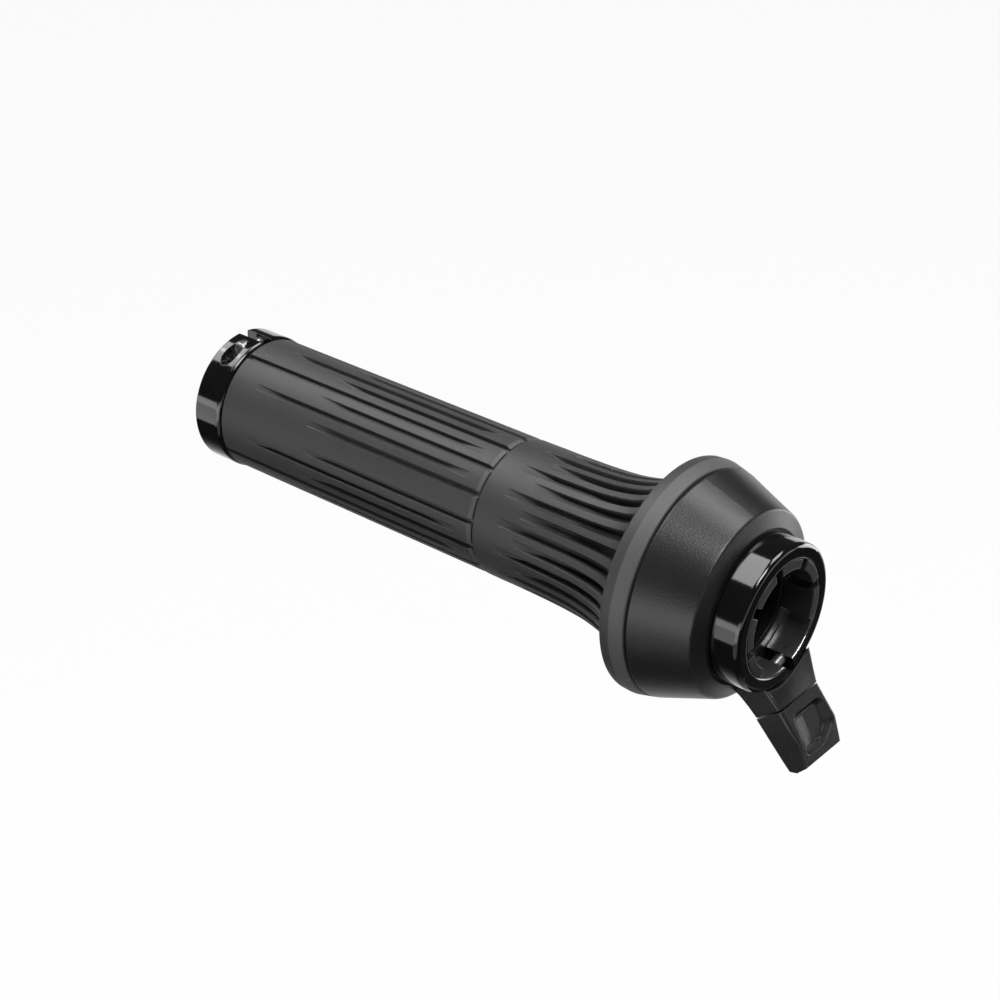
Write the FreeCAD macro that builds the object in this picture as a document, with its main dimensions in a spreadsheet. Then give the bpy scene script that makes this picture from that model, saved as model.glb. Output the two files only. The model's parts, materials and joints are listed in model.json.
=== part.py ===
import FreeCAD
import Part
import Sketcher

import math
import os

from FreeCAD import Placement, Rotation, Vector

# Twist-grip suspension lockout remote for the left end of a handlebar.
# +X runs along the bar towards the stem, -Y faces the rider and +Z is up.
# The origin is on the bar axis, in the inboard face of the inner clamp.
# All sizes are in millimetres and all angles in degrees.

DOC = FreeCAD.newDocument("lockout_remote")

# Driving sizes: alias, value, meaning.
DRIVING = [
    ("bar_radius", 11.1, "handlebar outer radius"),
    ("bar_gap", 0.05, "bore over handlebar, radial"),
    ("run_gap", 0.06, "turning fit, radial"),
    ("seat_gap", 0.05, "still fit between two pieces"),
    ("thread_gap", 0.03, "screw, pin or shank in its hole"),
    ("free_gap", 0.3, "gap between a moving and a still face"),
    ("tube_wall", 1.35, "support tube wall"),
    ("carrier_wall", 1.34, "twist tube wall along the grip"),
    ("rubber_wall", 2.35, "rubber over the grip core"),
    ("remote_length", 159.2, "outer clamp end to inner clamp face"),
    ("outer_clamp_width", 8.2, "outer clamp along the bar"),
    ("fixed_grip_end", 72.4, "inboard end of the fixed rubber"),
    ("twist_gap", 0.6, "gap between fixed and twist rubber"),
    ("flange_seam", 22.3, "inboard face of the twist flange"),
    ("flange_lip", 0.8, "twist flange beyond the housing"),
    ("ring_width", 5.6, "plain ring of the flange along the bar"),
    ("fixed_grooves", 31, "places for grooves round the fixed rubber"),
    ("bare_pad_angle", 157.4, "place with no groove on the fixed rubber"),
    ("twist_grooves", 30, "grooves round the twist rubber"),
    ("twist_groove_angle", 87.0, "one long groove of the twist rubber"),
    ("groove_width", 1.25, "finger groove width"),
    ("groove_depth", 0.95, "finger groove depth"),
    ("groove_lead", 5.0, "sloping end of a finger groove"),
    ("stagger_start", 26.3, "outboard end of the grooves that reach the seam"),
    ("late_start", 8.3, "outboard end of every other groove that doesn't"),
    ("early_end", 4.2, "inboard end of those grooves, before the seam"),
    ("twist_long_start", 6.7, "outboard end of the long twist grooves"),
    ("twist_short_start", 12.3, "outboard end of the short twist grooves"),
    ("twist_groove_sink", 0.25, "twist grooves deeper than the fixed ones"),
    ("twist_groove_scale", 1.2, "twist grooves wider than the fixed ones"),
    ("rubber_lip", 2.8, "rubber over the rim of the twist tube's flange"),
    ("ring_bevel", 1.2, "bevel of the ring along the bar"),
    ("ring_bevel_drop", 0.5, "drop of that bevel"),
    ("inner_clamp_width", 7.0, "inner clamp along the bar"),
    ("clamp_wall", 3.45, "inner clamp wall"),
    ("clamp_proud", 0.4, "outer clamp beyond the grip"),
    ("finger_wall", 2.15, "clamp finger wall"),
    ("finger_slot", 2.3, "slot between clamp fingers"),
    ("finger_pitch", 45.0, "angle between clamp fingers"),
    ("first_finger", 36.0, "angle of the first clamp finger"),
    ("clamp_slit", 3.0, "slit of both clamps"),
    ("inner_slit_angle", -75.0, "slit of the inner clamp"),
    ("outer_slit_angle", 87.0, "slit of the outer clamp"),
    ("clamp_bevel", 0.45, "small edge radius of both clamps"),
    ("clamp_round", 1.2, "inboard edge radius of both clamps"),
    ("bolt_radius", 1.25, "clamp bolt shank radius"),
    ("bolt_head_radius", 1.95, "clamp bolt head radius"),
    ("bolt_head", 2.2, "clamp bolt head height"),
    ("bolt_seat", 3.1, "slit middle to the seat of the bolt head"),
    ("bolt_reach", 4.1, "slit middle to the end of the bolt"),
    ("hex_flats", 2.5, "socket across flats"),
    ("key_reach", 14.6, "straight way in for the key"),
    ("cone_rise", 4.85, "rise of the housing cone"),
    ("face_step", 4.55, "housing end face beyond the inner clamp"),
    ("face_inset", 0.8, "flat of the end wall beyond the inner clamp"),
    ("face_start", 8.7, "end face corner from the origin"),
    ("cone_edge", 0.9, "rounded edge of the housing"),
    ("housing_wall", 1.95, "housing wall"),
    ("cavity_end", 10.4, "inner face of the housing end wall"),
    ("end_wall_face", 7.45, "outer face of the housing end wall"),
    ("clamp_relief", 0.3, "housing clear of the inner clamp"),
    ("plate_thickness", 1.2, "back plate"),
    ("plate_lip", 2.05, "housing wall round the back plate"),
    ("plate_ledge", 0.6, "ledge that carries the back plate"),
    ("plate_screw_inset", 1.85, "back plate screws from its edge"),
    ("boss_radius", 1.65, "back plate screw boss radius"),
    ("boss_length", 3.7, "back plate screw boss length"),
    ("screw_radius", 0.8, "small screw shank radius"),
    ("screw_head_radius", 1.45, "small screw head radius"),
    ("screw_head", 0.9, "small screw head height"),
    ("screw_reach", 3.0, "back plate screw length under its plate"),
    ("screw_slot", 0.4, "width and depth of a small screw's slot"),
    ("flange_screw_reach", 2.2, "support tube screw length under its flange"),
    ("flange_plate", 1.6, "support tube flange thickness"),
    ("tube_flange_inset", 0.6, "support tube flange inside the inner clamp"),
    ("flange_screw_inset", 1.8, "support tube screws from the flange edge"),
    ("rim_wall", 1.3, "latch rim wall"),
    ("drum_width", 5.2, "cable drum along the bar"),
    ("lever_space", 2.7, "room between tube flange and latch rim"),
    ("rim_width", 2.5, "latch rim along the bar"),
    ("notch_width", 5.6, "latch notch in the rim"),
    ("cable_groove", 0.95, "cable groove radius"),
    ("cable_pocket", 3.4, "depth of the pocket for the cable's end"),
    ("cable_pocket_angle", 30.0, "place of that pocket"),
    ("twist_travel", 35.0, "turn from open to locked"),
    ("dog_count", 3, "drive dogs of the twist tube"),
    ("dog_angle", 40.0, "angle that one drive dog covers"),
    ("dog_length", 2.0, "drive dog along the bar"),
    ("dog_play", 1.0, "play of a drive dog in its slot, in degrees"),
    ("jaw_count", 4, "jaws between support tube and grip core"),
    ("jaw_width", 3.0, "jaw width"),
    ("jaw_length", 4.0, "jaw along the bar"),
    ("socket_length", 6.6, "support tube inside the grip core"),
    ("coil_radius", 14.1, "return spring mean radius"),
    ("coil_wire", 0.4, "return spring wire radius"),
    ("coil_turns", 2.5, "return spring turns"),
    ("arm_near", -3.6, "arm side towards the rider"),
    ("arm_width", 14.5, "arm width"),
    ("arm_lean", 38.1, "lean of the arm from straight down"),
    ("arm_depth", 7.9, "arm front to back at the seam"),
    ("arm_root", 9.0, "length of the upper arm above the seam"),
    ("arm_front_edge", 0.7, "rounded front edges of the arm"),
    ("arm_back_edge", 1.2, "rounded back edges of the arm"),
    ("seam_x", 2.9, "front corner of the arm seam, along the bar"),
    ("seam_rise", 1.25, "front corner of the arm seam inside the end face"),
    ("seam_gap", 0.38, "gap between arm and release button"),
    ("pad_length", 14.4, "release button below the seam"),
    ("pad_taper", 0.7, "narrowing of each side of the button tip"),
    ("recess_depth", 1.15, "thumb recess depth"),
    ("recess_slope", 0.12, "fall of the recess floor towards the tip"),
    ("recess_draft", 0.18, "share by which the recess narrows to its floor"),
    ("button_edge", 0.8, "rounded edges of the release button"),
    ("pivot_drop", 3.0, "lever pin above the seam"),
    ("pivot_depth", 4.85, "lever pin behind the arm front"),
    ("pin_radius", 0.9, "lever pin radius"),
    ("pin_wall", 1.2, "arm wall that closes the pin hole"),
    ("eye_radius", 2.1, "lever eye radius"),
    ("lever_near", 0.0, "lever side towards the rider"),
    ("lever_width", 4.0, "lever width"),
    ("lever_thickness", 1.4, "lever arm thickness"),
    ("lever_room", 0.5, "room beside the lever"),
    ("nose_height", 1.4, "latch nose of the lever"),
    ("lever_travel", 5.0, "turn of the lever when pressed"),
    ("tongue_length", 8.0, "lever tongue inside the button"),
    ("tongue_thickness", 2.0, "lever tongue thickness"),
    ("torsion_radius", 1.4, "button spring mean radius"),
    ("torsion_wire", 0.22, "button spring wire radius"),
    ("torsion_turns", 4, "button spring turns"),
    ("torsion_length", 2.0, "button spring length"),
    ("outlet_radius", 4.0, "cable outlet boss radius"),
    ("outlet_end", 24.5, "mouth of the cable outlet boss"),
    ("stop_radius", 3.6, "cable stop collar radius"),
    ("stop_length", 9.0, "cable stop collar length"),
    ("stop_shank", 2.4, "cable stop shank radius"),
    ("stop_depth", 6.0, "cable stop shank inside the boss"),
    ("ferrule_radius", 2.55, "ferrule socket radius"),
    ("ferrule_depth", 7.0, "ferrule socket depth"),
    ("cable_hole", 0.8, "hole for the inner cable"),
    ("hatch_length", 9.0, "cable hatch along the bar"),
    ("hatch_width", 11.0, "cable hatch across the bar"),
    ("hatch_thickness", 1.1, "cable hatch thickness"),
    ("hatch_angle", 14.0, "cable hatch position round the housing"),
    ("hatch_ledge", 1.6, "ledge that carries the hatch"),
    ("hatch_shift", 1.0, "hatch middle from the cable groove"),
    ("hatch_screw_inset", 1.2, "hatch screw from the hatch's edge"),
    ("hatch_screw_sink", 0.25, "hatch screw head under the housing's surface"),
    ("hatch_screw_length", 2.0, "hatch screw length"),
]

# Sizes worked out from the driving ones: alias, formula, meaning.
DERIVED = [
    ("bore_radius", "=Sizes.bar_radius + Sizes.bar_gap", "bore"),
    ("tube_bore", "=bore_radius + Sizes.seat_gap", "bore between the two clamps"),
    ("tube_radius", "=bore_radius + Sizes.tube_wall", "support tube outer radius"),
    ("run_radius", "=tube_radius + Sizes.run_gap", "bore of what turns on the tube"),
    ("carrier_radius", "=run_radius + Sizes.carrier_wall", "twist tube outer radius"),
    ("core_radius", "=carrier_radius - Sizes.seat_gap", "grip core outer radius"),
    ("clamp_bore", "=tube_radius + 2 * Sizes.seat_gap", "outer clamp bore"),
    ("grip_radius", "=core_radius + Sizes.rubber_wall", "grip outer radius"),
    ("outer_clamp_radius", "=grip_radius + Sizes.clamp_proud", "outer clamp outer radius"),
    ("finger_radius", "=bore_radius + Sizes.finger_wall", "clamp fingers outer radius"),
    ("inner_ring", "=finger_radius + Sizes.seat_gap", "inner clamp bore"),
    ("inner_clamp_radius", "=inner_ring + Sizes.clamp_wall", "inner clamp outer radius"),
    ("face_radius", "=inner_clamp_radius + Sizes.face_step", "housing end face radius"),
    ("housing_radius", "=face_radius + Sizes.cone_rise", "housing radius at its grip end"),
    ("flange_radius", "=housing_radius + Sizes.flange_lip", "twist flange outer radius"),
    ("plate_radius", "=housing_radius - Sizes.plate_lip", "back plate outer radius"),
    ("plate_screw_circle", "=plate_radius - Sizes.plate_screw_inset", "its screw circle"),
    ("flange_plate_radius", "=inner_clamp_radius - Sizes.tube_flange_inset", "tube flange"),
    ("flange_screw_circle", "=flange_plate_radius - Sizes.flange_screw_inset", "its screws"),
    ("rim_radius", "=flange_plate_radius + Sizes.lever_space", "latch rim inner radius"),
    ("drum_radius", "=rim_radius + Sizes.rim_wall", "cable drum outer radius"),
    ("seam_z", "=Sizes.seam_rise - face_radius", "height of the arm seam's front corner"),
    ("outer_clamp_start", "=-Sizes.remote_length", "outboard face of the outer clamp"),
    ("outer_clamp_end", "=outer_clamp_start + Sizes.outer_clamp_width", "its inboard face"),
    ("fixed_start", "=outer_clamp_end + Sizes.free_gap", "outboard end of the fixed rubber"),
    ("fixed_end", "=-Sizes.fixed_grip_end", "inboard end of the fixed rubber"),
    ("twist_start", "=fixed_end + Sizes.twist_gap", "outboard end of the twist rubber"),
    ("flange_face", "=-Sizes.flange_seam", "inboard face of the twist rubber"),
    ("plate_face", "=flange_face + Sizes.free_gap + 2 * Sizes.seat_gap", "back plate face"),
    ("cavity_start", "=plate_face + Sizes.plate_thickness", "open end of the cavity"),
    ("drum_start", "=cavity_start + Sizes.free_gap", "outboard face of the drum"),
    ("drum_face", "=drum_start + Sizes.drum_width", "inboard face of the drum"),
    ("wall_inside", "=-Sizes.cavity_end", "inside of the end wall"),
    ("tube_flange_face", "=wall_inside - Sizes.flange_plate", "outboard face of the flange"),
    ("tube_end", "=-Sizes.end_wall_face - 0.5", "inboard end of the support tube"),
    ("tube_start", "=fixed_end - Sizes.socket_length", "outboard end of the support tube"),
    ("arm_middle", "=Sizes.arm_near + Sizes.arm_width / 2", "middle of the arm"),
    ("groove_x", "=drum_start + Sizes.drum_width / 2", "cable groove along the bar"),
    ("cable_radius", "=drum_radius - Sizes.cable_groove", "cable path radius"),
]


def write_sheet(name, rows):
    """Put alias, value and meaning into a spreadsheet of that name."""
    sheet = DOC.addObject("Spreadsheet::Sheet", name)
    for row, (alias, value, meaning) in enumerate(rows, start=1):
        sheet.set(f"A{row}", alias)
        sheet.set(f"B{row}", str(value))
        sheet.setAlias(f"B{row}", alias)
        sheet.set(f"C{row}", meaning)
    DOC.recompute()
    return sheet


SIZES = write_sheet("Sizes", DRIVING)
FITS = write_sheet("Fits", DERIVED)


class Values:
    """Read-only view of both sheets, so that a size is v.name."""

    def __init__(self):
        for alias, _value, _meaning in DRIVING:
            setattr(self, alias, float(SIZES.get(alias)))
        for alias, _formula, _meaning in DERIVED:
            setattr(self, alias, float(FITS.get(alias)))


v = Values()
NODES = []
X_AXIS = Vector(1, 0, 0)
Y_AXIS = Vector(0, 1, 0)
ORIGIN = Vector(0, 0, 0)
TURN_TO_X = Rotation(Y_AXIS, 90)


def node(item, label):
    """Name an object and keep it as one of the pieces to write."""
    item.Label = label
    NODES.append(item)
    return item


def bind(item, **formulas):
    """Bind properties of an object to formulas on the sheets."""
    for prop, formula in formulas.items():
        item.setExpression(prop.replace("__", "."), formula)
    return item


def rod(name, radius, start, length):
    """Cylinder along the bar from start, with its sizes bound to the sheets."""
    item = DOC.addObject("Part::Cylinder", name)
    item.Placement = Placement(ORIGIN, TURN_TO_X)
    return bind(item, Radius=radius, Height=length, Placement__Base__x=start)


def ring(name, outer, inner, start, length):
    """Ring round the bar with its sizes bound to the sheets."""
    item = DOC.addObject("Part::Cut", name)
    item.Base = rod(name + "_outside", outer, start, length)
    item.Tool = rod(name + "_inside", inner, f"{start} - 1", f"{length} + 2")
    return item


def cut(name, base, tools):
    """Take one or more tools out of a base object."""
    item = DOC.addObject("Part::Cut", name)
    item.Base = base
    if len(tools) == 1:
        item.Tool = tools[0]
    else:
        joined = DOC.addObject("Part::MultiFuse", name + "_tools")
        joined.Shapes = tools
        item.Tool = joined
    return item


def feature(name, shape):
    """Document object that holds a shape made with Part's own functions."""
    item = DOC.addObject("Part::Feature", name)
    item.Shape = shape
    item.Placement = shape.Placement
    return item


def cylinder_x(radius, start, end):
    """Plain cylinder shape along the bar."""
    return Part.makeCylinder(radius, end - start, Vector(start, 0, 0), X_AXIS)


def revolved(points):
    """Solid of revolution about the bar from (x, radius) points."""
    corners = [Vector(x, 0, radius) for x, radius in points]
    wire = Part.makePolygon(corners + corners[:1])
    return Part.Face(wire).revolve(ORIGIN, X_AXIS, 360)


def around(shape, angle):
    """Copy of a shape turned about the bar; 0 is +Y and 90 is +Z."""
    copy = shape.copy()
    copy.rotate(ORIGIN, X_AXIS, angle)
    return copy


def arc_corner(before, corner, after, size):
    """Start, middle and end of the arc that rounds a corner."""
    back = (before - corner).normalize()
    ahead = (after - corner).normalize()
    half = back.getAngle(ahead) / 2
    reach = size / math.tan(half)
    inward = (back + ahead).normalize()
    middle = corner + inward * (size / math.sin(half) - size)
    return corner + back * reach, middle, corner + ahead * reach


def rounded_wire(corners):
    """Closed wire through (point, radius) corners, rounded where the radius isn't 0."""
    count = len(corners)
    edges = []
    stops = []
    for index, (corner, size) in enumerate(corners):
        before = corners[index - 1][0]
        after = corners[(index + 1) % count][0]
        if size:
            start, middle, end = arc_corner(before, corner, after, size)
            edges.append(Part.Arc(start, middle, end).toShape())
            stops.append((start, end))
        else:
            stops.append((corner, corner))
    for index, (_start, end) in enumerate(stops):
        following = stops[(index + 1) % count][0]
        if end.distanceToPoint(following) > 1e-6:
            edges.append(Part.LineSegment(end, following).toShape())
    return Part.Wire(Part.__sortEdges__(edges))


def turned(points):
    """Solid of revolution about the bar from (x, radius, corner rounding) points."""
    corners = [(Vector(x, 0, radius), size) for x, radius, size in points]
    return Part.Face(rounded_wire(corners)).revolve(ORIGIN, X_AXIS, 360)


def prism_y(points, near, width):
    """Solid of (x, z) points, pulled along Y from near."""
    corners = [Vector(x, near, z) for x, z in points]
    wire = Part.makePolygon(corners + corners[:1])
    return Part.Face(wire).extrude(Vector(0, width, 0))


def block(low, high):
    """Box between two corners."""
    size = [b - a for a, b in zip(low, high)]
    return Part.makeBox(*size, Vector(*low))


# Clamps and their bolts


def slit_block(angle, width, start, length, reach):
    """Radial block that opens a ring at an angle."""
    low = (start - 1, 0, -width / 2)
    high = (start + length + 1, reach, width / 2)
    return around(block(low, high), angle)


def bolt_place(angle, circle, middle, side):
    """Placement that puts a bolt's +Z along the chord through a slit."""
    turn = Rotation(X_AXIS, angle)
    base = turn.multVec(Vector(middle, circle, 0))
    lay = Rotation(Vector(0, 0, 1), Vector(0, 0, side))
    return Placement(base, turn.multiply(lay))


def bolt_shape(angle, circle, middle, side):
    """Socket bolt across a slit, its head on the given side."""
    seat = Vector(0, 0, v.bolt_seat)
    head = Part.makeCylinder(v.bolt_head_radius, v.bolt_head, seat)
    rim = max(head.Edges, key=lambda edge: edge.CenterOfMass.z)
    head = head.makeFillet(v.clamp_bevel / 2, [rim])
    shank = Part.makeCylinder(
        v.bolt_radius, v.bolt_seat + v.bolt_reach, Vector(0, 0, -v.bolt_reach)
    )
    corner = v.hex_flats / 2 / math.cos(math.pi / 6)
    corners = [
        Vector(
            corner * math.cos(step * math.pi / 3),
            corner * math.sin(step * math.pi / 3),
            v.bolt_seat + v.bolt_head * 0.4,
        )
        for step in range(7)
    ]
    socket = Part.Face(Part.makePolygon(corners)).extrude(Vector(0, 0, v.bolt_head))
    bolt = head.fuse(shank).removeSplitter().cut(socket)
    bolt.Placement = bolt_place(angle, circle, middle, side)
    return bolt


def bolt_room(angle, circle, middle, side, extra=0.0):
    """Hole and open pocket that the bolt and its key need in a ring."""
    hole_reach = v.bolt_seat + v.bolt_reach + v.seat_gap
    hole = Part.makeCylinder(
        v.bolt_radius + v.seat_gap, hole_reach, Vector(0, 0, -v.bolt_reach - v.seat_gap)
    )
    pocket = Part.makeCylinder(
        v.bolt_head_radius + v.seat_gap + extra, v.key_reach, Vector(0, 0, v.bolt_seat - extra)
    )
    room = hole.fuse(pocket)
    room.Placement = bolt_place(angle, circle, middle, side)
    return room


def clamp_ring(start, width, outer, inner, mouth, angle, circle, side):
    """Split clamp ring with rounded edges and its bolt pocket."""
    end = start + width
    outline = [
        (start, inner, 0),
        (start, outer, v.clamp_bevel),
        (end, outer, v.clamp_round),
        (end, inner, mouth),
    ]
    body = turned(outline)
    body = body.cut(slit_block(angle, v.clamp_slit, start, width, outer + 2))
    return body.cut(bolt_room(angle, circle, start + width / 2, side))


inner_circle = (v.inner_ring + v.inner_clamp_radius) / 2 - v.seat_gap
outer_circle = (v.clamp_bore + v.outer_clamp_radius) / 2 - 4 * v.seat_gap
inner_middle = -v.inner_clamp_width / 2
outer_middle = v.outer_clamp_start + v.outer_clamp_width / 2

node(
    feature(
        "inner_clamp",
        clamp_ring(
            -v.inner_clamp_width,
            v.inner_clamp_width,
            v.inner_clamp_radius,
            v.inner_ring,
            v.clamp_bevel,
            v.inner_slit_angle,
            inner_circle,
            1,
        ),
    ),
    "inner_clamp",
)
node(
    feature(
        "inner_clamp_bolt",
        bolt_shape(v.inner_slit_angle, inner_circle, inner_middle, 1),
    ),
    "inner_clamp_bolt",
)
node(
    feature(
        "outer_clamp",
        clamp_ring(
            v.outer_clamp_start,
            v.outer_clamp_width,
            v.outer_clamp_radius,
            v.clamp_bore,
            v.clamp_bevel,
            v.outer_slit_angle,
            outer_circle,
            1,
        ),
    ),
    "outer_clamp",
)
node(
    feature(
        "outer_clamp_bolt",
        bolt_shape(v.outer_slit_angle, outer_circle, outer_middle, 1),
    ),
    "outer_clamp_bolt",
)


# Fixed grip: core and rubber


def polar(shape, count, first=0.0):
    """Compound of copies of a shape spread evenly round the bar."""
    copies = [around(shape, first + step * 360 / count) for step in range(int(count))]
    return Part.makeCompound(copies)


core_body = DOC.addObject("Part::MultiFuse", "core_body")
core_body.Shapes = [
    rod("core_barrel", "Fits.core_radius", "Fits.fixed_start", "Fits.fixed_end - Fits.fixed_start"),
    rod(
        "core_neck",
        "Fits.tube_radius",
        "Fits.outer_clamp_start + Sizes.clamp_bevel",
        "Sizes.outer_clamp_width + Sizes.free_gap",
    ),
]
core_bore = rod(
    "core_bore",
    "Fits.bore_radius",
    "Fits.outer_clamp_start - 1",
    "Sizes.remote_length",
)
core_middle_bore = rod(
    "core_middle_bore",
    "Fits.tube_bore",
    "Fits.outer_clamp_end",
    "Sizes.remote_length",
)
core_socket = rod(
    "core_socket",
    "Fits.tube_radius + Sizes.seat_gap",
    "Fits.tube_start - Sizes.seat_gap",
    "Sizes.socket_length + 1",
)
jaw_block = block(
    (v.tube_start - 1, v.bore_radius - 1, -v.jaw_width / 2),
    (v.tube_start + v.jaw_length, v.tube_radius + 1, v.jaw_width / 2),
)
core_lugs = feature("core_lugs", polar(jaw_block, v.jaw_count))
core_recess = cut("core_recess", core_socket, [core_lugs])
squeeze_block = block(
    (v.outer_clamp_start - 1, v.bore_radius - 1, -v.clamp_slit / 2),
    (v.outer_clamp_end - 1, v.tube_radius + 1, v.clamp_slit / 2),
)
core_slots = feature(
    "core_slots", polar(squeeze_block, v.jaw_count, v.outer_slit_angle)
)
node(
    cut("fixed_grip_core", core_body, [core_bore, core_middle_bore, core_recess, core_slots]),
    "fixed_grip_core",
)


def long_groove(start, end, angle, lead_in, lead_out):
    """Straight finger groove of the fixed rubber, sloping out at each end."""
    floor = v.grip_radius - v.groove_depth
    top = v.grip_radius + 1
    outline = [
        (start, top),
        (start, v.grip_radius if lead_in else floor),
        (start + lead_in, floor),
        (end - lead_out, floor),
        (end, v.grip_radius if lead_out else floor),
        (end, top),
    ]
    corners = [Vector(x, radius, -v.groove_width / 2) for x, radius in outline]
    wire = Part.makePolygon(corners + corners[:1])
    tool = Part.Face(wire).extrude(Vector(0, 0, v.groove_width))
    return around(tool, angle)


def fixed_grooves():
    """Grooves either side of the bare pad: odd ones reach the seam, even ones don't."""
    tools = []
    count = int(v.fixed_grooves)
    for index in range(1, count):
        angle = v.bare_pad_angle + index * 360 / count
        step = min(index, count - index)
        if step % 2:
            start = v.fixed_start + v.stagger_start
            tools.append(long_groove(start, v.fixed_end + 1, angle, v.groove_lead, 0))
        elif step % 4 == 0:
            end = v.fixed_end - v.early_end
            tools.append(long_groove(v.fixed_start - 1, end, angle, 0, v.groove_lead))
        else:
            start = v.fixed_start + v.late_start
            end = v.fixed_end - v.early_end
            tools.append(long_groove(start, end, angle, v.groove_lead, v.groove_lead))
    return Part.makeCompound(tools)


rubber_tube = ring(
    "fixed_tube", "Fits.grip_radius", "Fits.core_radius", "Fits.fixed_start",
    "Fits.fixed_end - Fits.fixed_start",
)
node(
    cut("fixed_grip_rubber", rubber_tube, [feature("fixed_grooves", fixed_grooves())]),
    "fixed_grip_rubber",
)
node(
    ring(
        "thrust_washer",
        "Fits.core_radius - Sizes.seat_gap",
        "Fits.run_radius",
        "Fits.fixed_end + Sizes.seat_gap",
        "Sizes.twist_gap / 2",
    ),
    "thrust_washer",
)


# Twist grip: tube with its flange, and rubber

tube_begin = v.fixed_end + v.twist_gap / 2 + 3 * v.seat_gap
ring_back = v.flange_face - v.ring_width
carrier_rim = v.flange_radius - v.rubber_lip

# The flare as (distance from the back of the ring, share of the rise to the ring).
FLARE = [
    (20.4, 0.0),
    (14.0, 0.10),
    (10.0, 0.19),
    (6.5, 0.31),
    (4.0, 0.43),
    (2.3, 0.56),
    (1.1, 0.73),
    (0.35, 0.94),
]


def twist_outline():
    """(x, radius) points of the twist rubber's bell-shaped flare."""
    rise = v.flange_radius - 4 * v.seat_gap - v.grip_radius
    return [(ring_back - gap, v.grip_radius + share * rise) for gap, share in FLARE]


def spline_edge(points):
    """Smooth curve through (x, radius) points, in the XZ plane."""
    curve = Part.BSplineCurve()
    curve.interpolate([Vector(x, 0, radius) for x, radius in points])
    return curve.toShape()


def profile_face(before, curve, after):
    """Face from straight points, one smooth curve and more straight points."""
    edges = []
    corners = [Vector(x, 0, radius) for x, radius in before + curve[:1]]
    edges += Part.makePolygon(corners).Edges
    edges.append(spline_edge(curve))
    corners = [Vector(x, 0, radius) for x, radius in curve[-1:] + after + before[:1]]
    edges += Part.makePolygon(corners).Edges
    return Part.Face(Part.Wire(edges))


# The tube's own flare as (distance from the back of the ring, rise over the tube).
CARRIER_FLARE = [
    (-18.0, 0.0),
    (-9.0, 1.6),
    (-3.5, 4.2),
    (0.2, 7.4),
]

carrier_line = [(ring_back + gap, v.carrier_radius + rise) for gap, rise in CARRIER_FLARE]
carrier_line.append((ring_back + 1.5 * v.ring_bevel, carrier_rim))
carrier_face = v.flange_face - 2 * v.seat_gap


def twist_tube_shape():
    """Twist tube with its flared flange and drive dogs."""
    dogs_end = v.drum_start + v.dog_length
    outline = [
        (tube_begin, v.run_radius),
        (tube_begin, v.carrier_radius),
    ]
    outline += carrier_line
    outline += [
        (carrier_face, carrier_rim),
        (carrier_face, v.carrier_radius),
        (dogs_end, v.carrier_radius),
        (dogs_end, v.run_radius),
    ]
    neck = v.drum_start - v.seat_gap
    between_dogs = cylinder_x(v.carrier_radius + 1, neck, dogs_end + 1)
    for index in range(int(v.dog_count)):
        angle = index * 360 / v.dog_count
        dog = sector(angle, v.dog_angle - v.dog_play, neck - 1, dogs_end + 2)
        between_dogs = between_dogs.cut(dog)
    return revolved(outline).cut(between_dogs)


def sector(angle, spread, start, end, reach=40.0):
    """Pie slice round the bar, spread degrees wide."""
    half = math.radians(spread / 2)
    corners = [
        Vector(start, 0, 0),
        Vector(start, reach * math.cos(half), -reach * math.sin(half)),
        Vector(start, reach * math.cos(half), reach * math.sin(half)),
    ]
    wire = Part.makePolygon(corners + corners[:1])
    return around(Part.Face(wire).extrude(Vector(end - start, 0, 0)), angle)


def twist_groove(start, angle):
    """Finger groove that follows the flare up to the plain ring."""
    *flare, groove_top, _ring = twist_outline()[1:]
    depth = v.groove_depth + v.twist_groove_sink
    width = v.groove_width * v.twist_groove_scale
    floor = [(start, v.grip_radius), (start + v.groove_lead, v.grip_radius - depth)]
    floor += [(x + 0.3 * depth, radius - depth) for x, radius in flare]
    top_x, top_radius = groove_top
    floor.append((top_x + 0.75 * depth, top_radius - 0.2 * depth))
    floor.append((top_x + 0.2 * depth, top_radius + 0.75 * depth))
    cover = [(x - 1.3 * depth, radius + depth) for x, radius in reversed(flare)]
    cover.append((start, v.grip_radius + depth))
    corners = [Vector(x, radius, -width / 2) for x, radius in floor + cover]
    wire = Part.makePolygon(corners + corners[:1])
    return around(Part.Face(wire).extrude(Vector(0, 0, width)), angle)


def twist_rubber_shape():
    """Twist rubber with flare, plain ring, bevel and staggered grooves."""
    line = twist_outline()
    before = [
        (carrier_face, carrier_rim),
        *reversed(carrier_line),
        (v.twist_start, v.carrier_radius),
        (v.twist_start, v.grip_radius - v.free_gap),
        (v.twist_start + v.free_gap, v.grip_radius),
    ]
    after = [
        (ring_back, v.flange_radius - 3 * v.seat_gap),
        (v.flange_face - v.ring_bevel, v.flange_radius),
        (v.flange_face, v.flange_radius - v.ring_bevel_drop),
        (v.flange_face, carrier_rim),
    ]
    face = profile_face(before, line, after)
    body = face.revolve(ORIGIN, X_AXIS, 360)
    pitch = 360 / v.twist_grooves
    tools = []
    for index in range(int(v.twist_grooves)):
        begin = v.twist_short_start if index % 2 else v.twist_long_start
        angle = v.twist_groove_angle + index * pitch
        tools.append(twist_groove(v.twist_start + begin, angle))
    return body.cut(Part.makeCompound(tools))


node(feature("twist_tube", twist_tube_shape()), "twist_tube")
node(feature("twist_grip_rubber", twist_rubber_shape()), "twist_grip_rubber")


# Cable drum


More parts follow.
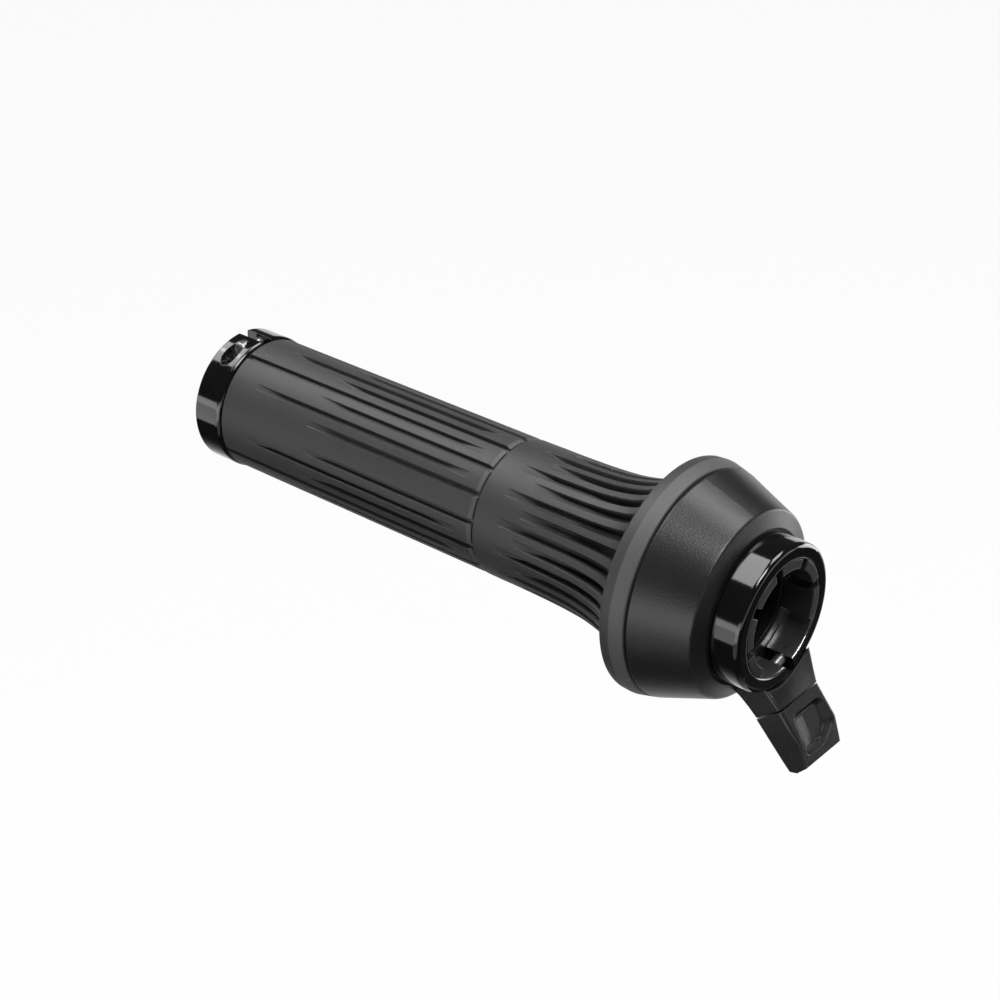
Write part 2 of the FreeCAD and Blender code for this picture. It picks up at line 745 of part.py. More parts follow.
def drum_shape():
    """Cable drum with groove, latch rim, notch, dog slots and cable pocket."""
    rim_end = v.drum_face + v.rim_width
    outline = [
        (v.drum_start, v.run_radius),
        (v.drum_start, v.drum_radius),
        (rim_end, v.drum_radius),
        (rim_end, v.rim_radius),
        (v.drum_face, v.rim_radius),
        (v.drum_face, v.run_radius),
    ]
    body = revolved(outline)
    groove = Part.makeTorus(
        v.drum_radius, v.cable_groove, Vector(v.groove_x, 0, 0), X_AXIS
    )
    pitch = 360 / v.dog_count
    slot_band = cylinder_x(
        v.carrier_radius + v.seat_gap, v.drum_start - 1, v.drum_start + v.dog_length + v.seat_gap
    )
    slots = [
        slot_band.common(
            sector(index * pitch, v.dog_angle, v.drum_start - 2, v.drum_face)
        )
        for index in range(int(v.dog_count))
    ]
    notch_angle = latch_angle() - v.twist_travel
    notch = around(
        block(
            (v.drum_face, 0, -v.notch_width / 2),
            (rim_end + 1, v.drum_radius + 1, v.notch_width / 2),
        ),
        notch_angle,
    )
    pocket = Part.makeCylinder(
        2 * v.cable_groove, v.cable_pocket + 0.1, Vector(v.groove_x, 0, v.drum_radius - v.cable_pocket)
    )
    pocket = around(pocket, v.cable_pocket_angle)
    return body.cut(Part.makeCompound([groove, notch, pocket] + slots))


def latch_angle():
    """Angle of the lever nose round the bar."""
    side = v.lever_near + v.lever_width / 2
    return math.degrees(math.atan2(-v.rim_radius, side))


node(feature("cable_drum", drum_shape()), "cable_drum")


# Support tube with its flange and screws

FLANGE_SCREWS = (90.0, 210.0, 330.0)
PLATE_SCREWS = (30.0, 150.0, 230.0)

tube_parts = DOC.addObject("Part::MultiFuse", "tube_parts")
tube_parts.Shapes = [
    rod("tube_barrel", "Fits.tube_radius", "Fits.tube_start", "Fits.tube_end - Fits.tube_start"),
    rod(
        "tube_flange",
        "Fits.flange_plate_radius",
        "Fits.tube_flange_face",
        "Sizes.flange_plate",
    ),
]
tube_bore = rod(
    "tube_hole", "Fits.tube_bore", "Fits.tube_start - 1", "Fits.tube_end - Fits.tube_start + 2"
)
jaw_cut = block(
    (v.tube_start - 1, v.bore_radius - 1, -v.jaw_width / 2 - v.seat_gap),
    (v.tube_start + v.jaw_length + v.seat_gap, v.tube_radius + 1, v.jaw_width / 2 + v.seat_gap),
)


def screw_shape(top, reach, circle, angle, room=0.0):
    """Countersunk screw along +X, its flat head at top."""
    outline = [
        (top, 0),
        (top, v.screw_head_radius + room),
        (top + v.screw_head, v.screw_radius + room),
        (top + reach, v.screw_radius + room),
        (top + reach, 0),
    ]
    corners = [Vector(x, 0, radius) for x, radius in outline]
    body = Part.Face(Part.makePolygon(corners + corners[:1])).revolve(ORIGIN, X_AXIS, 360)
    body.translate(Vector(0, circle, 0))
    if not room:
        slot = block(
            (top - 1, circle - 2, -v.screw_slot / 2), (top + v.screw_slot, circle + 2, v.screw_slot / 2)
        )
        body = body.cut(slot)
    return around(body, angle)


def flange_screws(room=0.0):
    """The screws that hold the support tube to the housing."""
    reach = v.flange_plate + v.flange_screw_reach
    shapes = [
        screw_shape(v.tube_flange_face, reach, v.flange_screw_circle, angle, room)
        for angle in FLANGE_SCREWS
    ]
    return Part.makeCompound(shapes)


def plate_screws(room=0.0):
    """The screws that hold the back plate to the housing."""
    reach = v.plate_thickness + v.screw_reach
    shapes = [
        screw_shape(v.plate_face, reach, v.plate_screw_circle, angle, room)
        for angle in PLATE_SCREWS
    ]
    return Part.makeCompound(shapes)


node(
    cut(
        "support_tube",
        tube_parts,
        [
            tube_bore,
            feature("tube_jaws", polar(jaw_cut, v.jaw_count)),
            feature("tube_screw_holes", flange_screws(v.seat_gap)),
        ],
    ),
    "support_tube",
)
node(feature("support_tube_screws", flange_screws()), "support_tube_screws")


# Return spring round the support tube


def helix_spring(radius, wire, turns, length):
    """Round-wire coil along +Z, from the height of one wire radius."""
    pitch = length / turns
    path = Part.makeHelix(pitch, length, radius)
    section = Part.Wire(
        Part.makeCircle(wire, Vector(radius, 0, 0), Vector(0, 1, pitch / (2 * math.pi * radius)))
    )
    return Part.Wire(path).makePipeShell([section], True, True)


spring_room = v.tube_flange_face - v.drum_face
spring_length = spring_room - 2 * v.coil_wire - 4 * v.seat_gap
return_coil = helix_spring(v.coil_radius, v.coil_wire, v.coil_turns, spring_length)
return_coil.Placement = Placement(
    Vector(v.drum_face + v.coil_wire + 2 * v.seat_gap, 0, 0), TURN_TO_X
)
node(feature("return_spring", return_coil), "return_spring")


# Back plate: a body with sketches, closing the housing behind the flange


def origin_plane(body, role):
    """The body's own origin plane of that role."""
    return next(item for item in body.Origin.OriginFeatures if item.Role == role)


def sketch_on(body, name, role):
    """New sketch on one of the body's origin planes."""
    sketch = body.newObject("Sketcher::SketchObject", name)
    sketch.AttachmentSupport = (origin_plane(body, role), [""])
    sketch.MapMode = "FlatFace"
    return sketch


def add_circle(sketch, x, y, formula):
    """Circle at a place, its radius bound to a formula."""
    index = sketch.addGeometry(Part.Circle(Vector(x, y, 0), Vector(0, 0, 1), 1.0))
    sketch.addConstraint(Sketcher.Constraint("DistanceX", -1, 1, index, 3, x))
    sketch.addConstraint(Sketcher.Constraint("DistanceY", -1, 1, index, 3, y))
    radius = sketch.addConstraint(Sketcher.Constraint("Radius", index, 1.0))
    sketch.setExpression(f"Constraints[{radius}]", formula)
    return index


plate = DOC.addObject("PartDesign::Body", "plate_body")
plate_sketch = sketch_on(plate, "plate_outline", "YZ_Plane")
add_circle(plate_sketch, 0, 0, "Fits.plate_radius")
add_circle(plate_sketch, 0, 0, "Fits.carrier_radius + Sizes.free_gap")
plate_pad = plate.newObject("PartDesign::Pad", "plate_pad")
plate_pad.Profile = plate_sketch
bind(plate_pad, Length="Sizes.plate_thickness")
bind(plate, Placement__Base__x="Fits.plate_face")
node(
    cut("back_plate_drilled", plate, [feature("plate_screw_holes", plate_screws(v.seat_gap))]),
    "back_plate",
)
node(feature("back_plate_screws", plate_screws()), "back_plate_screws")


# Release lever frame: along the arm (down) and through it (towards its back)

LEAN = math.radians(v.arm_lean)
DOWN = (math.sin(LEAN), -math.cos(LEAN))
BACK = (-math.cos(LEAN), -math.sin(LEAN))


def arm_point(along, depth):
    """(x, z) of a point given along the arm from the seam and behind its front."""
    return (
        v.seam_x + along * DOWN[0] + depth * BACK[0],
        v.seam_z + along * DOWN[1] + depth * BACK[1],
    )


PIVOT = arm_point(-v.pivot_drop, v.pivot_depth)
NOSE_FACE = v.drum_face + v.rim_width
nose_radius = v.rim_radius - v.free_gap
nose_top = nose_radius - v.nose_height


def disc_y(centre, radius, near, width):
    """Cylinder along Y at (x, z)."""
    return Part.makeCylinder(radius, width, Vector(centre[0], near, centre[1]), Y_AXIS)


def strip(start, end, half):
    """(x, z) corners of a straight bar between two points."""
    run = Vector(end[0] - start[0], 0, end[1] - start[1])
    side = Vector(-run.z, 0, run.x).normalize() * half
    return [
        (start[0] + side.x, start[1] + side.z),
        (end[0] + side.x, end[1] + side.z),
        (end[0] - side.x, end[1] - side.z),
        (start[0] - side.x, start[1] - side.z),
    ]


def lever_tip():
    """(x, z) of the middle of the lever arm where it meets the nose."""
    return (NOSE_FACE - v.free_gap, -(nose_radius - v.lever_thickness * 0.6))


def pawl_shape():
    """Steel lever: eye, arm with latch nose, and tongue held in the button."""
    near = v.lever_near
    eye = disc_y(PIVOT, v.eye_radius, near, v.lever_width)
    tip = lever_tip()
    arm = prism_y(strip(PIVOT, tip, v.lever_thickness / 2), near, v.lever_width)
    rim_zone = cylinder_x(v.rim_radius + 5, v.drum_face - 1, NOSE_FACE + v.free_gap)
    arm = arm.cut(rim_zone.cut(cylinder_x(nose_radius, v.drum_face - 2, NOSE_FACE + 1)))
    nose = block(
        (v.drum_face + v.free_gap, near, -v.rim_radius),
        (tip[0], near + v.lever_width, -nose_top),
    ).common(cylinder_x(nose_radius, v.drum_face, tip[0] + 1))
    tongue_end = arm_point(v.tongue_length, v.pivot_depth)
    tongue = prism_y(strip(PIVOT, tongue_end, v.tongue_thickness / 2), near, v.lever_width)
    hole = disc_y(PIVOT, v.pin_radius + v.run_gap, near - 1, v.lever_width + 2)
    return eye.fuse([arm, nose, tongue]).removeSplitter().cut(hole)


def arm_corner(along, depth, y):
    """Point of the arm given along it, behind its front and across it."""
    x, z = arm_point(along, depth)
    return Vector(x, y, z)


def pad_outline():
    """(x, z) outline of the release button below the seam."""
    places = [
        (v.seam_gap, 0.0),
        (v.pad_length * 0.575, -0.2),
        (v.pad_length * 0.972, v.arm_depth * 0.24),
        (v.pad_length, v.arm_depth * 0.62),
        (v.pad_length * 0.945, v.arm_depth * 0.84),
        (v.pad_length * 0.44, v.arm_depth * 0.925),
        (v.seam_gap, v.arm_depth),
    ]
    return [arm_point(along, depth) for along, depth in places]


def button_shape():
    """Thumb button with tapered sides, rounded edges, recess and lever slot."""
    near = v.arm_near
    far = near + v.arm_width
    pad = prism_y(pad_outline(), near, v.arm_width)
    edges = [
        edge
        for edge in pad.Edges
        if abs(edge.CenterOfMass.y - v.arm_middle) > 1 and far_from_seam(edge)
    ]
    pad = pad.makeFillet(v.button_edge, edges)
    for side, edge_y in ((-1, near), (1, far)):
        taper_y = edge_y - side * v.pad_taper
        wedge = [
            arm_corner(v.pad_length * 0.3, -v.arm_width, edge_y),
            arm_corner(v.pad_length * 0.3, 2 * v.arm_width, edge_y),
            arm_corner(v.pad_length + 2, 2 * v.arm_width, taper_y),
            arm_corner(v.pad_length + 2, -v.arm_width, taper_y),
        ]
        face = Part.Face(Part.makePolygon(wedge + wedge[:1]))
        pad = pad.cut(face.extrude(Vector(0, side * 3, 0)))
    recess = thumb_recess()
    tongue_end = arm_point(v.tongue_length + v.seat_gap, v.pivot_depth)
    half = v.tongue_thickness / 2 + v.seat_gap
    slot = prism_y(
        strip(PIVOT, tongue_end, half), v.lever_near - v.seat_gap, v.lever_width + 2 * v.seat_gap
    )
    return pad.cut(recess).cut(slot)


def far_from_seam(edge):
    """True for an edge that doesn't lie in the seam face of the button."""
    middle = edge.CenterOfMass
    along = (middle.x - v.seam_x) * DOWN[0] + (middle.z - v.seam_z) * DOWN[1]
    return along > v.seam_gap + 0.1


# Outline of the thumb recess: down the button from the seam, across it, rounding.
RECESS = (
    (2.6, -1.1, 1.4),
    (2.6, 9.2, 1.7),
    (8.8, 9.1, 2.0),
    (12.1, 4.8, 1.5),
    (12.1, -1.5, 1.2),
)
RECESS_MIDDLE = (7.3, 3.7)
RECESS_TOP = 3.0
# Section of the valley in its floor: place across the arm, and depth.
VALLEY = ((0.5, 0.0), (3.5, 0.4), (6.9, 0.0))
VALLEY_ENDS = (4.0, 10.4)


def recess_floor(along, depth):
    """Depth behind the arm's front of a level of the recess, which falls towards the tip."""
    return depth + v.recess_slope * (along - RECESS_TOP)


def recess_wire(depth):
    """Outline of the recess at a depth: full size at the surface, narrower below."""
    scale = 1 - v.recess_draft * depth / v.recess_depth
    corners = []
    for along, y, rounding in RECESS:
        down = RECESS_MIDDLE[0] + (along - RECESS_MIDDLE[0]) * scale
        across = RECESS_MIDDLE[1] + (y - RECESS_MIDDLE[1]) * scale
        corners.append((arm_corner(down, recess_floor(down, depth), across), rounding * scale))
    return rounded_wire(corners)


def valley_wire(along):
    """Triangle of the shallow valley in the floor of the recess."""
    floor = recess_floor(along, v.recess_depth)
    corners = [arm_corner(along, floor + depth, y) for y, depth in VALLEY]
    return Part.makePolygon(corners + corners[:1])


def thumb_recess():
    """Shallow scoop in the front of the button, with a valley down its floor."""
    above = -1.3 * v.recess_depth
    scoop = Part.makeLoft([recess_wire(above), recess_wire(v.recess_depth)], True, True)
    valley = Part.makeLoft([valley_wire(along) for along in VALLEY_ENDS], True, True)
    return scoop.fuse(valley)


node(feature("latch_pawl", pawl_shape()), "latch_pawl")
node(feature("release_button", button_shape()), "release_button")

pin_start = v.arm_near + v.pin_wall
pin_end = v.arm_near + v.arm_width - v.seat_gap
node(
    feature("button_pin", disc_y(PIVOT, v.pin_radius, pin_start, pin_end - pin_start)),
    "button_pin",
)

torsion_coil = helix_spring(
    v.torsion_radius, v.torsion_wire, v.torsion_turns, v.torsion_length
)
torsion_coil.Placement = Placement(
    Vector(PIVOT[0], v.lever_near + v.lever_width + v.free_gap + v.torsion_wire, PIVOT[1]),
    Rotation(X_AXIS, -90),
)
node(feature("button_spring", torsion_coil), "button_spring")


# Housing: cone, end wall with clamp fingers, arm, cable outlet

CONE_BACK = v.plate_face
MISSING_FINGERS = (5, 6)


def cone_radius(x):
    """Outer radius of the housing cone at a place along the bar."""
    share = (-v.face_start - x) / (-v.face_start - CONE_BACK)
    return v.face_radius + share * (v.housing_radius - v.face_radius)


def housing_outside():
    """Solid cone with its end face and the sleeve of the clamp fingers."""
    outline = [
        (CONE_BACK, 0, 0),
        (CONE_BACK, v.housing_radius, v.cone_edge / 2),
        (-v.face_start, v.face_radius, v.cone_edge),
        (-v.end_wall_face, v.inner_clamp_radius + v.face_inset, 0),
        (-v.end_wall_face, v.finger_radius, 0),
        (0, v.finger_radius, 0),
        (0, 0, 0),
    ]
    return turned(outline)


# Sections of the upper arm: share of its length above the seam, how far the near
# and far front corners stand behind the front, and how far the back corners stand
# behind the back.
ARM_SECTIONS = (
    (0.0, 0.0, 0.0, 0.0, 0.0),
    (-0.33, 0.5, -1.1, 0.6, 0.3),
    (-0.62, 1.1, -2.2, 1.3, 1.0),
    (-1.0, 2.0, -3.6, 3.0, 2.4),
)


def arm_section(share, near_front, far_front, near_back, far_back):
    """Closed wire of one arm section with rounded corners."""
    along = share * v.arm_root
    near = v.arm_near
    far = v.arm_near + v.arm_width
    corners = [
        (arm_corner(along, near_front, near), v.arm_front_edge),
        (arm_corner(along, far_front, far), v.arm_front_edge),
        (arm_corner(along, v.arm_depth + far_back, far), v.arm_back_edge),
        (arm_corner(along, v.arm_depth + near_back, near), v.arm_back_edge),
    ]
    return rounded_wire(corners)


def arm_shape():
    """Upper half of the arm, from inside the housing down to the seam."""
    return Part.makeLoft([arm_section(*row) for row in ARM_SECTIONS], True, True)


def lever_cavity():
    """Room inside the arm and end wall for the lever, its spring and its travel."""
    near = v.lever_near - v.lever_room
    width = v.lever_width + 2 * v.lever_room
    tip = lever_tip()
    half = v.lever_thickness / 2 + v.free_gap
    passage = prism_y(strip(PIVOT, tip, half), near, width)
    pressed = passage.copy()
    pressed.rotate(Vector(PIVOT[0], 0, PIVOT[1]), Y_AXIS, v.lever_travel)
    spring_side = v.torsion_length + 2 * v.free_gap
    eye_room = disc_y(PIVOT, v.eye_radius + v.free_gap + 0.1, near, width + spring_side)
    out = arm_point(v.seam_gap + v.free_gap, v.pivot_depth)
    channel = prism_y(strip(PIVOT, out, v.tongue_thickness / 2 + 2 * v.free_gap), near, width)
    return passage.fuse([pressed, eye_room, channel])


def finger_slots():
    """Slots between the clamp fingers, and the wide gap at the clamp slit."""
    low = (-v.end_wall_face + 0.3, v.bore_radius - 1, -v.finger_slot / 2)
    high = (1, v.finger_radius + 1, v.finger_slot / 2)
    slot = block(low, high)
    tools = []
    count = int(round(360 / v.finger_pitch))
    for index in range(count):
        middle = v.first_finger + index * v.finger_pitch
        tools.append(around(slot, middle + v.finger_pitch / 2))
        if index in MISSING_FINGERS:
            band = cylinder_x(v.finger_radius + 1, low[0], 1)
            tools.append(band.common(sector(middle, v.finger_pitch + 4, low[0], 1)))
    return tools


HATCH_MIDDLE = v.groove_x + v.hatch_shift


def hatch_frame(length, width):
    """Block of the hatch's place, from inside the housing to outside it."""
    piece = block(
        (HATCH_MIDDLE - length / 2, v.inner_clamp_radius, -width / 2),
        (HATCH_MIDDLE + length / 2, v.flange_radius * 1.1, width / 2),
    )
    return around(piece, v.hatch_angle)


def hatch_skin(sink):
    """Solid cone that lies a set depth under the housing's surface."""
    back = CONE_BACK + v.cone_edge
    front = -v.face_start - v.cone_edge
    return revolved(
        [(back, 0), (back, cone_radius(back) - sink), (front, cone_radius(front) - sink), (front, 0)]
    )


def hatch_screw(room=0.0):
    """Radial screw in the middle of the hatch's inboard edge."""
    place = HATCH_MIDDLE + v.hatch_length / 2 - v.hatch_screw_inset
    top = cone_radius(place) - v.hatch_screw_sink
    body = screw_shape(0, v.hatch_screw_length, 0, 0, room)
    body.rotate(ORIGIN, Vector(0, 0, 1), 180)
    body.translate(Vector(top, 0, 0))
    body.rotate(ORIGIN, Vector(0, 0, 1), 90)
    body.translate(Vector(place, 0, 0))
    return around(body, v.hatch_angle)


def housing_shape():
    """Housing with arm, fingers, bosses, outlet and all its openings."""
    outside = housing_outside()
    outlet_z = -v.cable_radius
    outlet_start = v.cable_radius / 3
    outlet = Part.makeCylinder(
        v.outlet_radius, v.outlet_end - outlet_start, Vector(v.groove_x, outlet_start, outlet_z),
        Y_AXIS,
    )
    body = outside.fuse([arm_shape(), outlet])
    mouth = cylinder_x(v.plate_radius + v.seat_gap, CONE_BACK - 1, v.cavity_start)
    wall_back = cone_radius(v.cavity_start) - v.housing_wall - v.plate_ledge
    wall_front = cone_radius(v.wall_inside) - v.housing_wall
    cavity = revolved(
        [
            (v.cavity_start - 0.1, 0),
            (v.cavity_start - 0.1, wall_back),
            (v.wall_inside, wall_front),
            (v.wall_inside, 0),
        ]
    )
    relief = cylinder_x(v.inner_clamp_radius + v.clamp_relief, -v.end_wall_face, v.clamp_relief)
    relief = relief.cut(cylinder_x(v.finger_radius, -v.end_wall_face - 1, 1))
    body = body.cut(mouth.fuse([cavity, relief]))
    bosses = []
    for angle in PLATE_SCREWS:
        boss = Part.makeCylinder(
            v.boss_radius, v.boss_length, Vector(v.cavity_start, v.plate_screw_circle, 0), X_AXIS
        )
        bosses.append(around(boss, angle))
    body = body.fuse(bosses)
    room = [
        cylinder_x(v.bore_radius, CONE_BACK, 1),
        cylinder_x(v.tube_radius + v.seat_gap, CONE_BACK, v.tube_end + v.seat_gap),
        lever_cavity(),
        disc_y(PIVOT, v.pin_radius + v.thread_gap, pin_start - v.seat_gap, v.arm_width),
        Part.makeCylinder(
            v.stop_shank, v.stop_depth + 1, Vector(v.groove_x, v.outlet_end - v.stop_depth, outlet_z),
            Y_AXIS,
        ),
        Part.makeCylinder(
            1.25 * v.cable_hole, v.outlet_end, Vector(v.groove_x, 2, outlet_z), Y_AXIS
        ),
        hatch_frame(
            v.hatch_length + 2 * v.seat_gap, v.hatch_width + 2 * v.seat_gap
        ).cut(hatch_skin(v.hatch_thickness + v.seat_gap)),
        hatch_frame(
            v.hatch_length - 2 * v.hatch_ledge - 1, v.hatch_width - 2 * v.hatch_ledge
        ),
        hatch_screw(v.thread_gap),
        bolt_room(v.inner_slit_angle, inner_circle, inner_middle, 1, v.free_gap),
    ]
    body = body.cut(Part.makeCompound(finger_slots()))
    for tool in room:
        body = body.cut(tool)
    screws = flange_screws(v.thread_gap).fuse(plate_screws(v.thread_gap))
    return body.cut(screws)


housing = housing_shape()
node(feature("housing", housing.removeSplitter()), "housing")

hatch_body = (
    hatch_frame(v.hatch_length, v.hatch_width)
    .common(hatch_skin(0))
    .cut(hatch_skin(v.hatch_thickness))
    .cut(hatch_screw(v.seat_gap))
)
node(feature("cable_hatch", hatch_body), "cable_hatch")
node(feature("hatch_screw", hatch_screw()), "hatch_screw")


# Cable stop: plain collar with the ferrule socket, pressed into the outlet


def cable_stop_shape():
    """Collar, shank, ferrule socket and cable hole, along +Y."""
    mouth = Vector(v.groove_x, v.outlet_end, -v.cable_radius)
    collar = Part.makeCylinder(v.stop_radius, v.stop_length, mouth, Y_AXIS)
    collar = collar.makeChamfer(0.4, [max(collar.Edges, key=lambda edge: edge.CenterOfMass.y)])
    root = mouth - Vector(0, v.stop_depth, 0)
    shank = Part.makeCylinder(v.stop_shank - v.thread_gap, v.stop_depth, root, Y_AXIS)
    socket = Part.makeCylinder(
        v.ferrule_radius,
        v.ferrule_depth,
        mouth + Vector(0, v.stop_length - v.ferrule_depth, 0),
        Y_AXIS,
    )
    hole = Part.makeCylinder(v.cable_hole, 30, root - Vector(0, 1, 0), Y_AXIS)
    return collar.fuse(shank).cut(socket).cut(hole)


node(feature("cable_stop", cable_stop_shape()), "cable_stop")


# Check every object, then write each piece

DOC.recompute()
for item in DOC.Objects:
    if "Invalid" in item.State or "Error" in item.State:
        raise RuntimeError(f"{item.Name} failed: {item.State}")

os.makedirs("parts", exist_ok=True)
for item in NODES:
    shape = item.Shape
    if shape.isNull() or not shape.isValid() or not shape.Solids:
        raise RuntimeError(f"{item.Label} has no valid shape")
    shape.exportStep(os.path.join("parts", item.Label + ".step"))
    box = shape.BoundBox
    print(
        f"{item.Label}: {len(shape.Solids)} solid, {shape.Volume:.1f} mm3,"
        f" x {box.XMin:.1f}..{box.XMax:.1f} y {box.YMin:.1f}..{box.YMax:.1f}"
        f" z {box.ZMin:.1f}..{box.ZMax:.1f}"
    )
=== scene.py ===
"""Looks of a twist-grip suspension lockout remote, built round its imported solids.

The bar axis is X, the rider's side is -Y and +Z is up. Lengths are written in
millimetres and turned into metres where meshes, lights and the camera are made.
"""

import json
import logging
import math
from abc import ABC, abstractmethod
from dataclasses import dataclass, field
from enum import Enum
from typing import Dict, Iterable, List, Optional, Sequence, Tuple, Union

import bpy
import numpy as np
from mathutils import Matrix, Vector


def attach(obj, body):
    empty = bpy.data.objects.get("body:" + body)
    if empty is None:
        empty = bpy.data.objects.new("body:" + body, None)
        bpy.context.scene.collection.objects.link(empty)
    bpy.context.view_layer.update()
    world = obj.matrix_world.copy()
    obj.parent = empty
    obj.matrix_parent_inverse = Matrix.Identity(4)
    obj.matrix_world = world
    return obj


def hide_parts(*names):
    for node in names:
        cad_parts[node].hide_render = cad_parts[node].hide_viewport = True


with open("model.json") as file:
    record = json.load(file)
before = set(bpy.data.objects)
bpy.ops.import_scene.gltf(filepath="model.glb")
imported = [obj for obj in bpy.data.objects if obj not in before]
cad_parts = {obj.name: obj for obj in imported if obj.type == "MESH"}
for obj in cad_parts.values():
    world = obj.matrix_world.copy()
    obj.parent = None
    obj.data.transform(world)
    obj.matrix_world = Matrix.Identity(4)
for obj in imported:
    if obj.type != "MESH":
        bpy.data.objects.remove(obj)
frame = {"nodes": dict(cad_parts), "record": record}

logging.basicConfig(level=logging.INFO, format="%(levelname)s %(message)s")
LOG = logging.getLogger("lockout_remote")

MM = 0.001
FULL_TURN = 360.0

# Mesh attribute that holds the painted shade of the grooves, darker where they are deeper.
PAINTED_SHADE = "sink"
# Angle between faces from which an edge is crisp.
CRISP_DEGREES = 35.0
# Widest angle between two columns of points round a grip.
WIDEST_STEP = 3.0
# Colour sockets of a Mix node: both inputs and the result.
MIX_FIRST, MIX_SECOND, MIX_RESULT = 6, 7, 2
# Value that a noise swings round.
NOISE_MEAN = 0.5

Number = Union[int, float]
Operand = Union["Value", int, float]
Point2 = Tuple[float, float]
Point3 = Tuple[float, float, float]
Colour = Tuple[float, float, float, float]


class Body(str, Enum):
    """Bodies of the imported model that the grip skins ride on."""

    FIXED = "fixed"
    TWIST = "twist"


class Slot(str, Enum):
    """Material slots of the record."""

    GRIP_RUBBER = "grip_rubber"
    HOUSING_PLASTIC = "housing_plastic"
    INNER_PLASTIC = "inner_plastic"
    CLAMP_METAL = "clamp_metal"
    TUBE_METAL = "tube_metal"
    BOLT_STEEL = "bolt_steel"
    SPRING_STEEL = "spring_steel"


def grey(value: float) -> Colour:
    """Neutral colour of one linear value, with full alpha."""
    return (value, value, value, 1.0)


BLACK = grey(0.001)
WHITE = grey(1.0)


class Value:
    """A node socket that takes part in arithmetic.

    Each operator adds one Math node to the material that the socket is in.
    """

    def __init__(self, graph: "ShaderGraph", socket: bpy.types.NodeSocket) -> None:
        """Wrap a socket.

        Args:
            graph: The material's graph.
            socket: An output socket in that graph.
        """
        self.graph = graph
        self.socket = socket

    def __add__(self, other: Operand) -> "Value":
        """This value plus another."""
        return self.graph.math("ADD", self, other)

    def __radd__(self, other: Number) -> "Value":
        """A number plus this value."""
        return self.graph.math("ADD", other, self)

    def __sub__(self, other: Operand) -> "Value":
        """This value less another."""
        return self.graph.math("SUBTRACT", self, other)

    def __rsub__(self, other: Number) -> "Value":
        """A number less this value."""
        return self.graph.math("SUBTRACT", other, self)

    def __mul__(self, other: Operand) -> "Value":
        """This value times another."""
        return self.graph.math("MULTIPLY", self, other)

    def __rmul__(self, other: Number) -> "Value":
        """A number times this value."""
        return self.graph.math("MULTIPLY", other, self)

    def __truediv__(self, other: Operand) -> "Value":
        """This value divided by another."""
        return self.graph.math("DIVIDE", self, other)

    def __rtruediv__(self, other: Number) -> "Value":
        """A number divided by this value."""
        return self.graph.math("DIVIDE", other, self)

    def __pow__(self, other: Operand) -> "Value":
        """This value to the power of another."""
        return self.graph.math("POWER", self, other)

    def __rpow__(self, other: Number) -> "Value":
        """A number to the power of this value."""
        return self.graph.math("POWER", other, self)

    def __gt__(self, other: Operand) -> "Value":
        """1 where this value is the greater one, else 0."""
        return self.graph.math("GREATER_THAN", self, other)

    def __lt__(self, other: Operand) -> "Value":
        """1 where this value is the smaller one, else 0."""
        return self.graph.math("LESS_THAN", self, other)

    def swing(self, amount: float) -> "Value":
        """A noise turned into a change round 0, scaled by an amount."""
        return (self - NOISE_MEAN) * amount

    def step(self, low: float, high: float) -> "Value":
        """Smooth rise from 0 at low to 1 at high.

        Args:
            low: Input that gives 0.
            high: Input that gives 1.

        Returns:
            The eased value.
        """
        node = self.graph.node(
            "ShaderNodeMapRange",
            {"interpolation_type": "SMOOTHSTEP"},
            {"Value": self, "From Min": low, "From Max": high},
        )
        return Value(self.graph, node.outputs["Result"])


Feed = Union[Value, Number, Sequence[float]]
Inputs = Dict[Union[str, int], Feed]


